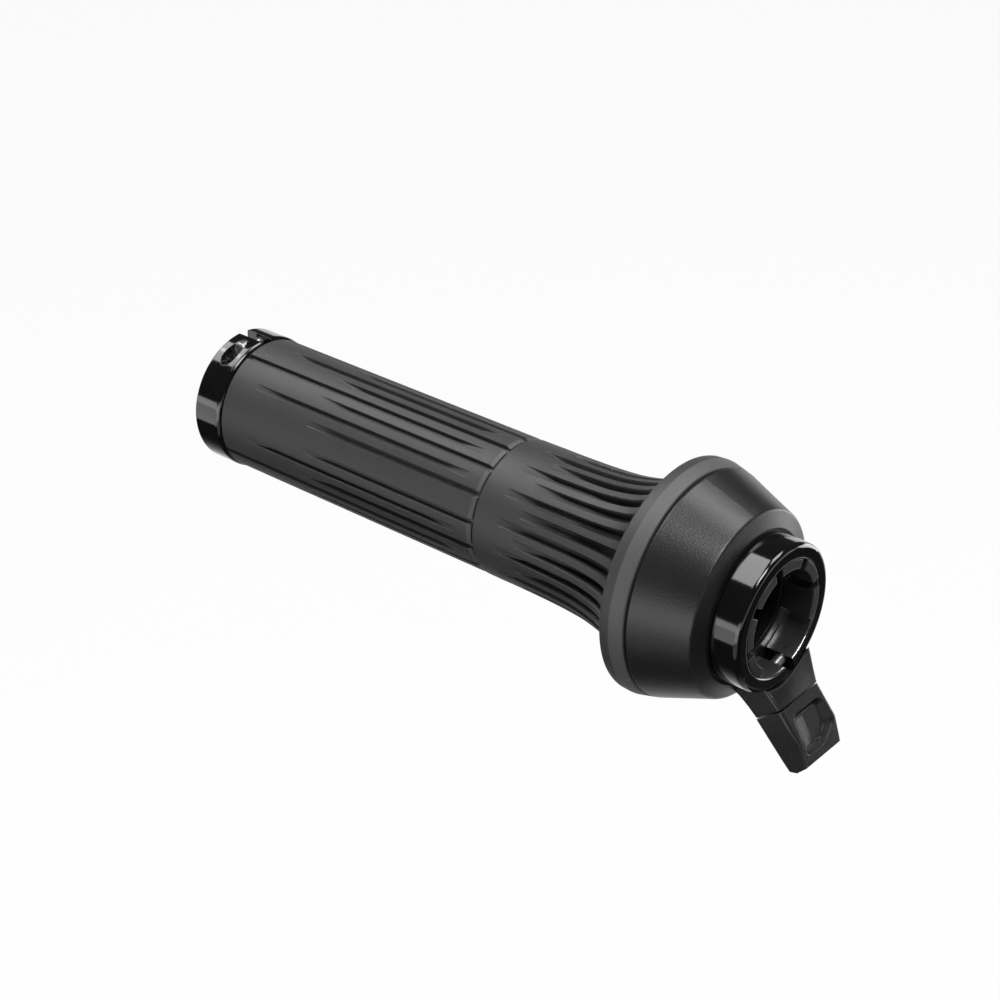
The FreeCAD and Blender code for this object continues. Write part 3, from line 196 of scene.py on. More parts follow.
class ShaderGraph:
    """Node graph of one material or world, emptied and ready for building."""

    def __init__(self, owner: Union[bpy.types.Material, bpy.types.World]) -> None:
        """Empty the owner's graph.

        Args:
            owner: The new material or world.
        """
        self.owner = owner
        self.owner.use_nodes = True
        self.tree = self.owner.node_tree
        self.tree.nodes.clear()

    @classmethod
    def material(cls, name: str) -> "ShaderGraph":
        """Empty graph of a new material with this name."""
        return cls(bpy.data.materials.new(name))

    def node(
        self,
        kind: str,
        settings: Optional[Dict[str, object]] = None,
        inputs: Optional[Inputs] = None,
    ) -> bpy.types.Node:
        """Add any node, set its properties and feed its inputs.

        Args:
            kind: Blender's node type.
            settings: Property names and values.
            inputs: Socket names or numbers, with sockets or constants.

        Returns:
            The new node.
        """
        made = self.tree.nodes.new(kind)
        for name, value in (settings or {}).items():
            setattr(made, name, value)
        for name, value in (inputs or {}).items():
            socket = made.inputs[name]
            if isinstance(value, Value):
                self.tree.links.new(value.socket, socket)
            else:
                socket.default_value = value
        return made

    def math(self, operation: str, *values: Operand) -> Value:
        """Result of a Math node on one to three sockets or numbers."""
        made = self.node("ShaderNodeMath", {"operation": operation}, dict(enumerate(values)))
        return Value(self, made.outputs[0])

    def part(self, vector: Value, axis: str) -> Value:
        """A vector's part along X, Y or Z."""
        made = self.node("ShaderNodeSeparateXYZ", {}, {0: vector})
        return Value(self, made.outputs[axis])

    def coordinates(self, kind: str) -> Value:
        """Texture coordinates of one kind, named as Blender names them."""
        return Value(self, self.node("ShaderNodeTexCoord").outputs[kind])

    def along(self, axis: str) -> Value:
        """The point's place along X, Y or Z, in millimetres."""
        return self.part(self.coordinates("Object"), axis) / MM

    def radius(self) -> Value:
        """The point's distance from the bar axis.

        Returns:
            The distance in millimetres.
        """
        across = self.along("Y")
        height = self.along("Z")
        return (across * across + height * height) ** 0.5

    def carried(self, name: str) -> Value:
        """A number that the mesh carries at each point, by its attribute's name."""
        made = self.node("ShaderNodeAttribute", {"attribute_name": name})
        return Value(self, made.outputs["Fac"])

    def rays(self) -> Tuple[Value, Value]:
        """1 for straight rays from the camera, and 1 for mirrored or refracted ones.

        Returns:
            Camera rays, and glossy or transmitted rays.
        """
        path = self.node("ShaderNodeLightPath")
        straight = Value(self, path.outputs["Is Camera Ray"])
        glossy = Value(self, path.outputs["Is Glossy Ray"])
        through = Value(self, path.outputs["Is Transmission Ray"])
        return straight, glossy + through

    def noise(self, size_mm: float, detail: float = 2.0, rough: float = 0.5) -> Value:
        """Noise whose grains are about a given size.

        Args:
            size_mm: Size of one grain.
            detail: Octaves of detail.
            rough: Weight of the finer octaves.

        Returns:
            Noise round 0.5.
        """
        made = self.node(
            "ShaderNodeTexNoise",
            {},
            {
                "Vector": self.coordinates("Object"),
                "Scale": 1.0 / (size_mm * MM),
                "Detail": detail,
                "Roughness": rough,
            },
        )
        return Value(self, made.outputs["Fac"])

    def cells(self, size_mm: float) -> Value:
        """Distance to the nearest point of a random cell pattern.

        Args:
            size_mm: Size of one cell.

        Returns:
            Distance, 0 at a cell's own point.
        """
        made = self.node(
            "ShaderNodeTexVoronoi",
            {},
            {"Vector": self.coordinates("Object"), "Scale": 1.0 / (size_mm * MM)},
        )
        return Value(self, made.outputs["Distance"])

    def blend(
        self, share: Value, first: Union[Value, Colour], second: Union[Value, Colour]
    ) -> Value:
        """Colour between two colours, each one plain or from a socket.

        Args:
            share: 0 for the first colour and 1 for the second.
            first: First colour.
            second: Second colour.

        Returns:
            The mixed colour.
        """
        made = self.node(
            "ShaderNodeMix",
            {"data_type": "RGBA"},
            {"Factor": share, MIX_FIRST: first, MIX_SECOND: second},
        )
        return Value(self, made.outputs[MIX_RESULT])

    def greys(self, share: Value, tones: Point2) -> Value:
        """Grey between two linear values."""
        return self.blend(share, grey(tones[0]), grey(tones[1]))

    def bump(
        self, height: Value, depth_mm: float, strength: float, edge_mm: float = 0.0
    ) -> Value:
        """Surface normal from a height.

        Args:
            height: Height from 0 to 1.
            depth_mm: Real height of 1.
            strength: How much of it shows.
            edge_mm: Radius that edges are rounded by, 0 for none.

        Returns:
            The normal.
        """
        inputs: Inputs = {"Height": height, "Distance": depth_mm * MM, "Strength": strength}
        if edge_mm:
            bevel = self.node("ShaderNodeBevel", {"samples": 6}, {"Radius": edge_mm * MM})
            inputs["Normal"] = Value(self, bevel.outputs["Normal"])
        made = self.node("ShaderNodeBump", {}, inputs)
        return Value(self, made.outputs["Normal"])

    def between(
        self, share: Value, first: bpy.types.Node, second: bpy.types.Node
    ) -> bpy.types.Node:
        """Shader between two shaders.

        Args:
            share: 0 for the first shader and 1 for the second.
            first: Node of the first shader.
            second: Node of the second shader.

        Returns:
            The mixing node.
        """
        shaders = (Value(self, shader.outputs[0]) for shader in (first, second))
        return self.node("ShaderNodeMixShader", {}, dict(enumerate((share, *shaders))))

    def close(
        self, output: str, shader: bpy.types.Node
    ) -> Union[bpy.types.Material, bpy.types.World]:
        """Show a shader through an output node of this type, and give the owner back."""
        self.node(output, {}, {"Surface": Value(self, shader.outputs[0])})
        return self.owner

    def surface(self, inputs: Inputs) -> bpy.types.Material:
        """Close the graph with one Principled shader that gets these inputs."""
        shader = self.node("ShaderNodeBsdfPrincipled", {}, inputs)
        return self.close("ShaderNodeOutputMaterial", shader)


@dataclass(frozen=True)
class Finish(ABC):
    """How a kind of surface looks, apart from where it is used.

    Attributes:
        name: Material name.
        slot: Slot of the record that it is for.
        tone: Linear grey of the surface.
        spread: Its darkest and lightest places, as shares of the tone.
    """

    name: str
    slot: Slot
    tone: float
    spread: Point2

    @abstractmethod
    def material(self) -> bpy.types.Material:
        """Make the material of this finish."""

    def own_grey(self, graph: ShaderGraph, share: Value) -> Value:
        """The finish's own colour, from its darkest place to its lightest."""
        low, high = self.spread
        return graph.greys(share, (self.tone * low, self.tone * high))


@dataclass(frozen=True)
class RubberFinish(Finish):
    """Matte moulded rubber with a fine grain, painted light on its bevels and painted shade in its
    grooves.

    Attributes:
        grain_mm: Size of its grain.
        cloud_mm: Size of its larger patches.
        depth_mm: Height of the grain.
        roughness: Mean roughness.
        dust_mm: Mean distance of dust specks.
        dust_fade: Where a speck starts and ends to fade, as shares of that distance.
        dust_tones: Linear greys of the specks.
        dust_cover: How much of the rubber a speck hides.
        painted_light_bevels: Start, end and linear grey of painted light on the bevels that face
            the right-hand lamps, along the bar.
        painted_light_spread: Darkest share of that grey.
        painted_light_rim: Half of the width over which such a bevel starts.
        painted_light_fade: Width over which it ends.
    """

    tone: float = 0.036
    spread: Point2 = (0.8, 1.25)
    grain_mm: float = 0.22
    cloud_mm: float = 9.0
    depth_mm: float = 0.03
    roughness: float = 0.54
    dust_mm: float = 5.0
    dust_fade: Point2 = (0.02, 0.05)
    dust_tones: Point2 = (0.12, 0.16)
    dust_cover: float = 0.8
    painted_light_bevels: Tuple[Point3, ...] = ((-25.5, -22.4, 0.09), (-73.3, -72.3, 0.075))
    painted_light_spread: float = 0.9
    painted_light_rim: float = 0.15
    painted_light_fade: float = 0.1

    def material(self) -> bpy.types.Material:
        """Make the rubber, with painted shade where the mesh says that a groove sinks in, and
        painted light on its bevels.

        Returns:
            The material.
        """
        graph = ShaderGraph.material(self.name)
        place = graph.along("X")
        grain = graph.noise(self.grain_mm, 2.0, 0.6)
        cloud = graph.noise(self.cloud_mm, 3.0, 0.55)
        dust = 1.0 - graph.cells(self.dust_mm).step(*self.dust_fade)
        share = cloud * 0.6 + grain * 0.4
        colour = self.own_grey(graph, share)
        # Painted light: the bevels that face the right-hand lamps are painted lighter.
        for start, end, tone in self.painted_light_bevels:
            begun = place.step(start - self.painted_light_rim, start + self.painted_light_rim)
            ended = place.step(end, end + self.painted_light_fade)
            painted_light = graph.greys(share, (tone * self.painted_light_spread, tone))
            colour = graph.blend(begun * (1.0 - ended), colour, painted_light)
        # Painted shade: the grooves get darker with the depth that the mesh carries.
        colour = graph.blend(graph.carried(PAINTED_SHADE), colour, BLACK)
        specks = graph.greys(share, self.dust_tones)
        return graph.surface(
            {
                "Base Color": graph.blend(dust * self.dust_cover, colour, specks),
                "Roughness": self.roughness + cloud.swing(0.16) + grain.swing(0.12) + dust * 0.2,
                "Specular IOR Level": 0.5,
                "Normal": graph.bump(grain * 0.7 + cloud * 0.3, self.depth_mm, 0.6),
            }
        )


@dataclass(frozen=True)
class MouldedFinish(Finish):
    """Glass-filled plastic moulded against an eroded, finely pitted tool.

    Attributes:
        grain_mm: Size of its grain.
        pit_scale: Size of its pits, as a share of the grain's.
        pit_rise: Where a pit's wall starts and ends to rise, as shares of the pit's size.
        cloud_mm: Size of its larger patches.
        depth_mm: Depth of grain and pits.
        roughness: Mean roughness.
        edge_mm: Rounding of its edges.
    """

    tone: float = 0.013
    spread: Point2 = (0.85, 1.2)
    grain_mm: float = 0.24
    pit_scale: float = 1.6
    pit_rise: Point2 = (0.1, 0.7)
    cloud_mm: float = 14.0
    depth_mm: float = 0.04
    roughness: float = 0.33
    edge_mm: float = 0.35

    def material(self) -> bpy.types.Material:
        """Make the plastic.

        Returns:
            The material.
        """
        graph = ShaderGraph.material(self.name)
        grain = graph.noise(self.grain_mm, 3.0, 0.6)
        pits = graph.cells(self.grain_mm * self.pit_scale).step(*self.pit_rise)
        cloud = graph.noise(self.cloud_mm)
        relief = grain * 0.6 + pits * 0.4
        return graph.surface(
            {
                "Base Color": self.own_grey(graph, cloud),
                "Roughness": self.roughness + grain.swing(0.2) + cloud.swing(0.06),
                "Specular IOR Level": 0.5,
                "Normal": graph.bump(relief, self.depth_mm, 0.8, self.edge_mm),
            }
        )


@dataclass(frozen=True)
class AnodisedFinish(Finish):
    """Polished aluminium under a gloss black anodised layer, with a bare turned bore.

    Attributes:
        roughness: Roughness of the layer.
        coat: Weight of the clear sealing on it.
        haze_mm: Size of its larger patches.
        fine_mm: Size of its finest marks.
        depth_mm: Depth of those marks.
        edge_mm: Rounding of its edges.
        bores: Bore radius of the ring inboard and outboard of the middle, where it is bare.
        bore_margin: How far past that radius the metal is bare.
        bare_tones: Linear greys of the bare metal.
        middle: Place along the bar between both rings.
    """

    tone: float = 0.004
    spread: Point2 = (0.7, 1.5)
    roughness: float = 0.07
    coat: float = 0.3
    haze_mm: float = 4.0
    fine_mm: float = 0.35
    depth_mm: float = 0.002
    edge_mm: float = 0.3
    bores: Optional[Point2] = None
    bore_margin: float = 0.06
    bare_tones: Point2 = (0.5, 0.72)
    middle: float = -80.0

    def material(self) -> bpy.types.Material:
        """Make the black metal.

        Returns:
            The material.
        """
        graph = ShaderGraph.material(self.name)
        haze = graph.noise(self.haze_mm, 3.0, 0.6)
        fine = graph.noise(self.fine_mm)
        colour = self.own_grey(graph, haze)
        rough = self.roughness + haze * 0.05
        coat = haze * 0.1 + self.coat
        inputs: Inputs = {
            "Specular IOR Level": 0.6,
            "Coat Roughness": 0.03,
            "Normal": graph.bump(fine, self.depth_mm, 0.4, self.edge_mm),
        }
        if self.bores:
            inboard, outboard = self.bores
            limit = (graph.along("X") > self.middle) * (inboard - outboard) + outboard
            bare = limit + self.bore_margin > graph.radius()
            colour = graph.blend(bare, colour, graph.greys(fine, self.bare_tones))
            rough = rough + bare * 0.2
            coat = coat * (1.0 - bare)
            inputs["Metallic"] = bare
        inputs["Base Color"] = colour
        inputs["Roughness"] = rough
        inputs["Coat Weight"] = coat
        return graph.surface(inputs)


@dataclass(frozen=True)
class MetalFinish(Finish):
    """Bare metal with fine tool marks, and a thread on the bolt under the bar.

    Attributes:
        roughness: Mean roughness.
        mark_mm: Size of its tool marks.
        mark_height: Their height, as a share of the depth.
        haze_mm: Size of its larger patches.
        depth_mm: Depth of a thread.
        edge_mm: Rounding of its edges.
        thread_mm: Pitch of a thread along Y, 0 for none.
        thread_span: Places along Y between which the thread runs.
    """

    tone: float = 0.65
    spread: Point2 = (0.85, 1.1)
    roughness: float = 0.34
    mark_mm: float = 0.12
    mark_height: float = 0.04
    haze_mm: float = 2.0
    depth_mm: float = 0.1
    edge_mm: float = 0.12
    thread_mm: float = 0.0
    thread_span: Point2 = (0.0, 0.0)

    def material(self) -> bpy.types.Material:
        """Make the metal.

        Returns:
            The material.
        """
        graph = ShaderGraph.material(self.name)
        marks = graph.noise(self.mark_mm)
        haze = graph.noise(self.haze_mm)
        relief = marks * self.mark_height
        if self.thread_mm:
            across = graph.along("Y")
            turns = graph.math("SINE", across * (2.0 * math.pi / self.thread_mm))
            low, high = self.thread_span
            below = 1.0 - (graph.along("Z") > 0.0)
            threaded = (across > low) * (1.0 - (across > high)) * below
            relief = relief + (turns * 0.5 + 0.5) * threaded
        return graph.surface(
            {
                "Base Color": self.own_grey(graph, haze),
                "Metallic": 1.0,
                "Roughness": self.roughness + marks.swing(0.15) + haze.swing(0.1),
                "Normal": graph.bump(relief, self.depth_mm, 0.9, self.edge_mm),
            }
        )


@dataclass(frozen=True)
class FinishSet:
    """The finish of every slot of the record."""

    rubber: RubberFinish = RubberFinish("grip_rubber_look", Slot.GRIP_RUBBER)
    housing: MouldedFinish = MouldedFinish("housing_look", Slot.HOUSING_PLASTIC)
    inner: MouldedFinish = MouldedFinish(
        "inner_plastic_look", Slot.INNER_PLASTIC, tone=0.03, grain_mm=0.6, depth_mm=0.01
    )
    clamp: AnodisedFinish = AnodisedFinish("clamp_look", Slot.CLAMP_METAL, bores=(13.35, 12.6))
    tube: AnodisedFinish = AnodisedFinish(
        "tube_look", Slot.TUBE_METAL, tone=0.01, roughness=0.3, coat=0.0
    )
    bolt: MetalFinish = MetalFinish(
        "bolt_look", Slot.BOLT_STEEL, thread_mm=0.5, thread_span=(-2.2, 6.8)
    )
    spring: MetalFinish = MetalFinish(
        "spring_look", Slot.SPRING_STEEL, tone=0.45, roughness=0.32
    )

    def all(self) -> List[Finish]:
        """Every finish."""
        return [
            self.rubber, self.housing, self.inner, self.clamp, self.tube, self.bolt, self.spring,
        ]


class Palette:
    """Materials made once from the finishes and found by slot."""

    def __init__(self, finishes: FinishSet) -> None:
        """Make every material.

        Args:
            finishes: The finishes to make.
        """
        self.by_slot: Dict[Slot, bpy.types.Material] = {}
        for finish in finishes.all():
            self.by_slot[finish.slot] = finish.material()
            LOG.info("finish %s", finish.name)

    def paint(self, item: bpy.types.Object, slot: Slot) -> None:
        """Give an object the material of a slot and no other."""
        item.data.materials.clear()
        item.data.materials.append(self.by_slot[slot])


def eased(share: np.ndarray) -> np.ndarray:
    """Smooth rise of an array from 0 to 1, held flat outside that range."""
    held = np.clip(share, 0.0, 1.0)
    return held * held * (3.0 - 2.0 * held)


def ramp(share: np.ndarray) -> np.ndarray:
    """Straight rise of an array from 0 that rounds off as it reaches 1."""
    held = np.clip(share, 0.0, 1.0)
    return np.minimum(1.25 * held, 1.0) * (1.0 - 0.1 * np.sin(np.pi * held))


def smooth_line(points: Sequence[Point2], step: float) -> np.ndarray:
    """Catmull-Rom line through points, sampled at about even steps.

    Args:
        points: (x, radius) places.
        step: Distance between samples.

    Returns:
        Array of (x, radius) rows.
    """
    raw = [np.array(point, float) for point in points]
    ends = [2 * raw[0] - raw[1]] + raw + [2 * raw[-1] - raw[-2]]
    rows: List[np.ndarray] = []
    for before, start, end, after in zip(ends, ends[1:], ends[2:], ends[3:]):
        slope = end - before
        bend = 2 * before - 5 * start + 4 * end - after
        twist = 3 * start - before - 3 * end + after
        count = max(1, int(round(np.linalg.norm(end - start) / step)))
        for index in range(count):
            t = index / count
            rows.append(0.5 * (2 * start + slope * t + bend * t**2 + twist * t**3))
    rows.append(raw[-1])
    return np.array(rows)


def mesh_object(
    name: str, points: Iterable[Sequence[float]], faces: Iterable[Sequence[int]]
) -> bpy.types.Object:
    """Mesh object with smooth faces and crisp edges.

    Args:
        name: Object name.
        points: Vertices in metres.
        faces: Vertex numbers of each face.

    Returns:
        The object, linked to the scene.
    """
    data = bpy.data.meshes.new(name)
    data.from_pydata(list(points), [], list(faces))
    data.validate()
    data.shade_smooth()
    data.set_sharp_from_angle(angle=math.radians(CRISP_DEGREES))
    item = bpy.data.objects.new(name, data)
    bpy.context.scene.collection.objects.link(item)
    return item


def facing(right: Vector, back: Vector, centre: Sequence[float]) -> Matrix:
    """Placement of a lamp or camera, which looks along its own -Z.

    Args:
        right: Direction of its own X.
        back: Direction of its own Z.
        centre: Its place in millimetres.

    Returns:
        The placement in metres.
    """
    rows = [list(axis) for axis in zip(right, back.cross(right), back)]
    placement = Matrix(rows).to_4x4()
    placement.translation = Vector(centre) * MM
    return placement


@dataclass(frozen=True)
class Groove:
    """One finger groove along a grip.

    Attributes:
        angle: Degrees round the bar, 0 at +Y and 90 at +Z.
        start: Place of its outboard end along the bar.
        end: Place of its inboard end along the bar.
        lead_in: Length of the sloping start, 0 for an open one.
        lead_out: Length of the sloping end, 0 for an open one.
        depth: Full depth before the flare.
        half_angle: Half of its width, in degrees.
        flare_depth: Depth that it gains over the flare.
        flare_start: Place where it starts to gain it.
        flare_length: Length over which it gains it.
    """

    angle: float
    start: float
    end: float
    lead_in: float
    lead_out: float
    depth: float
    half_angle: float
    flare_depth: float = 0.0
    flare_start: float = -50.0
    flare_length: float = 12.0

    def depth_along(self, x: np.ndarray) -> np.ndarray:
        """Depth of the groove's floor.

        Args:
            x: Places along the bar.

        Returns:
            The depth at each place.
        """
        rise = ramp((x - self.start) / self.lead_in) if self.lead_in else np.ones_like(x)
        fall = ramp((self.end - x) / self.lead_out) if self.lead_out else np.ones_like(x)
        deeper = self.flare_depth * eased((x - self.flare_start) / self.flare_length)
        return (self.depth + deeper) * rise * fall


# Half of a groove's section from its middle: share of the half width, share of the depth.
GROOVE_WALL: Tuple[Point2, ...] = (
    (0.0, 1.0),
    (0.6, 1.0),
    (0.72, 0.95),
    (0.8, 0.8),
    (0.88, 0.28),
    (0.93, 0.08),
    (1.0, 0.0),
    (1.08, -0.03),
    (1.18, -0.02),
    (1.4, 0.0),
)


def groove_section() -> List[Point2]:
    """The whole section of a groove, from side to side."""
    left = [(-offset, share) for offset, share in reversed(GROOVE_WALL[1:])]
    return left + list(GROOVE_WALL)


# One line of points along a grip: angle, share of the groove's depth, and the groove.
Column = Tuple[float, float, Optional[Groove]]


@dataclass(frozen=True)
class GrooveGrip:
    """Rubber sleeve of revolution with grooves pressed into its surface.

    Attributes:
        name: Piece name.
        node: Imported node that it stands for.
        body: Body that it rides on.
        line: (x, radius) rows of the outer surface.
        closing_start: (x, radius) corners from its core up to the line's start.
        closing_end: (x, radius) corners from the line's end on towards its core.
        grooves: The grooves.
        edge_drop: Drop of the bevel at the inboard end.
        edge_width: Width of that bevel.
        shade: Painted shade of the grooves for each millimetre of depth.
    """

    name: str
    node: str
    body: Body
    line: np.ndarray
    closing_start: List[Point2]
    closing_end: List[Point2]
    grooves: List[Groove]
    edge_drop: float = 0.0
    edge_width: float = 1.1
    shade: float = 0.12

    def _normals(self) -> np.ndarray:
        """Outward normals of the outline.

        Returns:
            One (x, radius) direction for each row of the line.
        """
        run = np.gradient(self.line, axis=0)
        normals = np.stack([-run[:, 1], run[:, 0]], axis=1)
        return normals / np.linalg.norm(normals, axis=1, keepdims=True)

    def _bevel(self) -> np.ndarray:
        """Drop of the inboard bevel at each row of the line."""
        to_end = self.line[-1, 0] - self.line[:, 0]
        return self.edge_drop * np.clip(1.0 - to_end / self.edge_width, 0.0, 1.0)

    def _columns(self) -> List[Column]:
        """Lines of points along the grip, in order round it, with no wide gap.

        Returns:
            The columns of every groove, and plain ones between them.
        """
        columns: List[Column] = []
        for groove in self.grooves:
            for offset, share in groove_section():
                columns.append((groove.angle + offset * groove.half_angle, share, groove))
        columns.sort(key=lambda column: column[0])
        filled: List[Column] = []
        turned = (columns[0][0] + FULL_TURN, 0.0, None)
        for here, after in zip(columns, columns[1:] + [turned]):
            filled.append(here)
            gap = after[0] - here[0]
            extra = int(gap // WIDEST_STEP)
            for index in range(1, extra + 1):
                share = index / (extra + 1)
                filled.append((here[0] + gap * share, 0.0, None))
        return filled

    def _shell(self, columns: List[Column]) -> Tuple[List[Point3], List[float]]:
        """Points of the sleeve, column by column, and the painted shade of each one.

        Args:
            columns: The lines of points along the grip.

        Returns:
            Vertices in metres, and one number for each.
        """
        normals = self._normals()
        bevel = self._bevel()
        plain_start = [0.0] * len(self.closing_start)
        plain_end = [0.0] * len(self.closing_end)
        points: List[Point3] = []
        painted_shades: List[float] = []
        for angle, share, groove in columns:
            sink = np.zeros(len(self.line))
            if groove is not None:
                sink = share * groove.depth_along(self.line[:, 0])
            outline = self.line - normals * np.maximum(sink, bevel)[:, None]
            # Painted shade of each point: the groove's depth times the grip's shade.
            painted_shades += [*plain_start, *(sink * self.shade).tolist(), *plain_end]
            turn = math.radians(angle)
            for x, radius in [*self.closing_start, *outline.tolist(), *self.closing_end]:
                points.append(
                    (x * MM, radius * math.cos(turn) * MM, radius * math.sin(turn) * MM)
                )
        return points, painted_shades

    def build(self, palette: Palette) -> bpy.types.Object:
        """Make the sleeve.

        Args:
            palette: Where its material comes from.

        Returns:
            The piece, riding on its body.
        """
        columns = self._columns()
        points, painted_shades = self._shell(columns)
        count = len(columns)
        length = len(points) // count
        faces = []
        for column in range(count):
            here = column * length
            following = (column + 1) % count * length
            for row in range(length - 1):
                faces.append(
                    (here + row, here + row + 1, following + row + 1, following + row)
                )
        item = mesh_object(self.name, points, faces)
        # Painted shade that the rubber's material reads.
        item.data.attributes.new(PAINTED_SHADE, "FLOAT", "POINT").data.foreach_set("value", painted_shades)
        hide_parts(self.node)
        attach(item, self.body.value)
        slot = Slot.GRIP_RUBBER
        palette.paint(item, slot)
        LOG.info("%s: %d faces", self.name, len(faces))
        return item


@dataclass(frozen=True)
class FixedGripPlan:
    """Sizes of the fixed rubber.

    Attributes:
        start: Outboard end.
        end: Inboard end.
        radius: Outer radius.
        core: Radius of the core that it sits on.
        edge: Chamfer of the outboard edge.
        edge_drop: Drop of the bevel at the inboard end.
        sample: Distance between rows of points.
        count: Places for grooves round the grip.
        bare_angle: Angle of the pad with no groove.
        depth: Depth of the grooves.
        half_angle: Half of their width, in degrees.
        overrun: How far a groove runs on past an end that it is open at.
        short_gap: From the outboard end to where the short grooves start.
        middle_gap: From the outboard end to where the middle ones start.
        end_gap: From the inboard end to where the middle and long ones end.
        short_lead: Length of the short grooves' slope.
        lead: Length of the others' slopes.
    """

    start: float = -150.7
    end: float = -72.4
    radius: float = 16.2
    core: float = 13.9
    edge: float = 0.25
    edge_drop: float = 0.5
    sample: float = 0.55
    count: int = 31
    bare_angle: float = 157.4
    depth: float = 1.1
    half_angle: float = 2.8
    overrun: float = 1.0
    short_gap: float = 26.3
    middle_gap: float = 8.3
    end_gap: float = 4.4
    short_lead: float = 9.5
    lead: float = 9.0

    def grooves(self) -> List[Groove]:
        """The grooves, staggered on both sides of the bare pad.

        Returns:
            Short ones at odd places, with long and middle ones in turn between them.
        """
        near_end = self.end - self.end_gap
        short = (self.start + self.short_gap, self.end + self.overrun, self.short_lead, 0.0)
        long = (self.start - self.overrun, near_end, 0.0, self.lead)
        middle = (self.start + self.middle_gap, near_end, self.lead, self.lead)
        made = []
        for index in range(1, self.count):
            step = index if index <= self.count // 2 else index - self.count
            angle = (self.bare_angle + step * (FULL_TURN / self.count)) % FULL_TURN
            if step % 2:
                span = short
            else:
                span = middle if step % 4 else long
            made.append(Groove(angle, *span, self.depth, self.half_angle))
        return made

    def grip(self) -> GrooveGrip:
        """The sleeve of this plan.

        Returns:
            The sleeve, ready to build.
        """
        line = [(self.start + self.edge, self.radius), (self.end, self.radius)]
        return GrooveGrip(
            "fixed_grip_skin",
            "fixed_grip_rubber",
            Body.FIXED,
            smooth_line(line, self.sample),
            [(self.start, self.core), (self.start, self.radius - self.edge)],
            [(self.end, self.core)],
            self.grooves(),
            edge_drop=self.edge_drop,
        )


@dataclass(frozen=True)
class TwistGripPlan:
    """Sizes of the turning rubber with its flare.

    Attributes:
        start: Outboard end.
        core: Radius of the core that it sits on.
        edge: Width of the bevel at the outboard end.
        edge_radii: Radius at the start and at the end of that bevel.
        sample: Distance between rows of points.
        count: Number of grooves.
        first_angle: Angle of the first groove.
        depth: Depth of the grooves before the flare.
        flare_depth: Depth that they gain over it.
        half_angle: Half of their width, in degrees.
        long_start: Where every other groove starts.
        short_start: Where the ones between them start.
        flare_end: Where they all end.
        lead_in: Length of the slope at their start.
        lead_out: Length of the slope at their end.
        shade: Painted shade of the grooves for each millimetre of depth.
        outline: (x, radius) points of the surface up to the flare's lip.
        ring: (x, radius) corners of the bevelled ring.
    """

    start: float = -71.8
    core: float = 13.9
    edge: float = 0.15
    edge_radii: Point2 = (15.85, 16.1)
    sample: float = 0.45
    count: int = 30
    first_angle: float = 87.0
    depth: float = 1.5
    flare_depth: float = 0.7
    half_angle: float = 3.5
    long_start: float = -65.6
    short_start: float = -60.2
    flare_end: float = -28.55
    lead_in: float = 10.0
    lead_out: float = 0.5
    shade: float = 0.42
    outline: Tuple[Point2, ...] = (
        (-71.4, 16.25),
        (-66.0, 16.3),
        (-60.0, 16.35),
        (-52.0, 16.55),
        (-46.0, 16.9),
        (-42.0, 17.4),
        (-38.0, 18.25),
        (-35.0, 19.2),
        (-32.5, 20.45),
        (-30.5, 22.1),
        (-29.2, 24.0),
        (-28.35, 25.9),
    )
    ring: Tuple[Point2, ...] = (
        (-28.2, 26.45),
        (-27.95, 26.75),
        (-27.6, 26.88),
        (-25.7, 27.0),
        (-25.4, 26.98),
        (-22.75, 26.35),
        (-22.45, 26.2),
        (-22.3, 25.95),
        (-22.3, 24.2),
    )

    def grooves(self) -> List[Groove]:
        """The grooves, every other one starting later.

        Returns:
            One groove for each place round the grip.
        """
        made = []
        for index in range(self.count):
            angle = (self.first_angle + index * FULL_TURN / self.count) % FULL_TURN
            start = self.short_start if index % 2 else self.long_start
            span = (start, self.flare_end, self.lead_in, self.lead_out)
            made.append(Groove(angle, *span, self.depth, self.half_angle, self.flare_depth))
        return made

    def grip(self) -> GrooveGrip:
        """The sleeve of this plan.

        Returns:
            The sleeve, ready to build.
        """
        low, high = self.edge_radii
        return GrooveGrip(
            "twist_grip_skin",
            "twist_grip_rubber",
            Body.TWIST,
            smooth_line(self.outline, self.sample),
            [(self.start, self.core), (self.start, low), (self.start + self.edge, high)],
            list(self.ring),
            self.grooves(),
            shade=self.shade,
        )


class CarriedNodes:
    """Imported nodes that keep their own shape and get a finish."""

    def build(self, palette: Palette) -> None:
        """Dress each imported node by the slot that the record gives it.

        Args:
            palette: Where the materials come from.
        """
        slots = {row["node"]: row["material_slot"] for row in frame["record"]["subparts"]}
        for name, item in frame["nodes"].items():
            palette.paint(item, Slot(slots[name]))
            LOG.info("node %s as %s", name, slots[name])


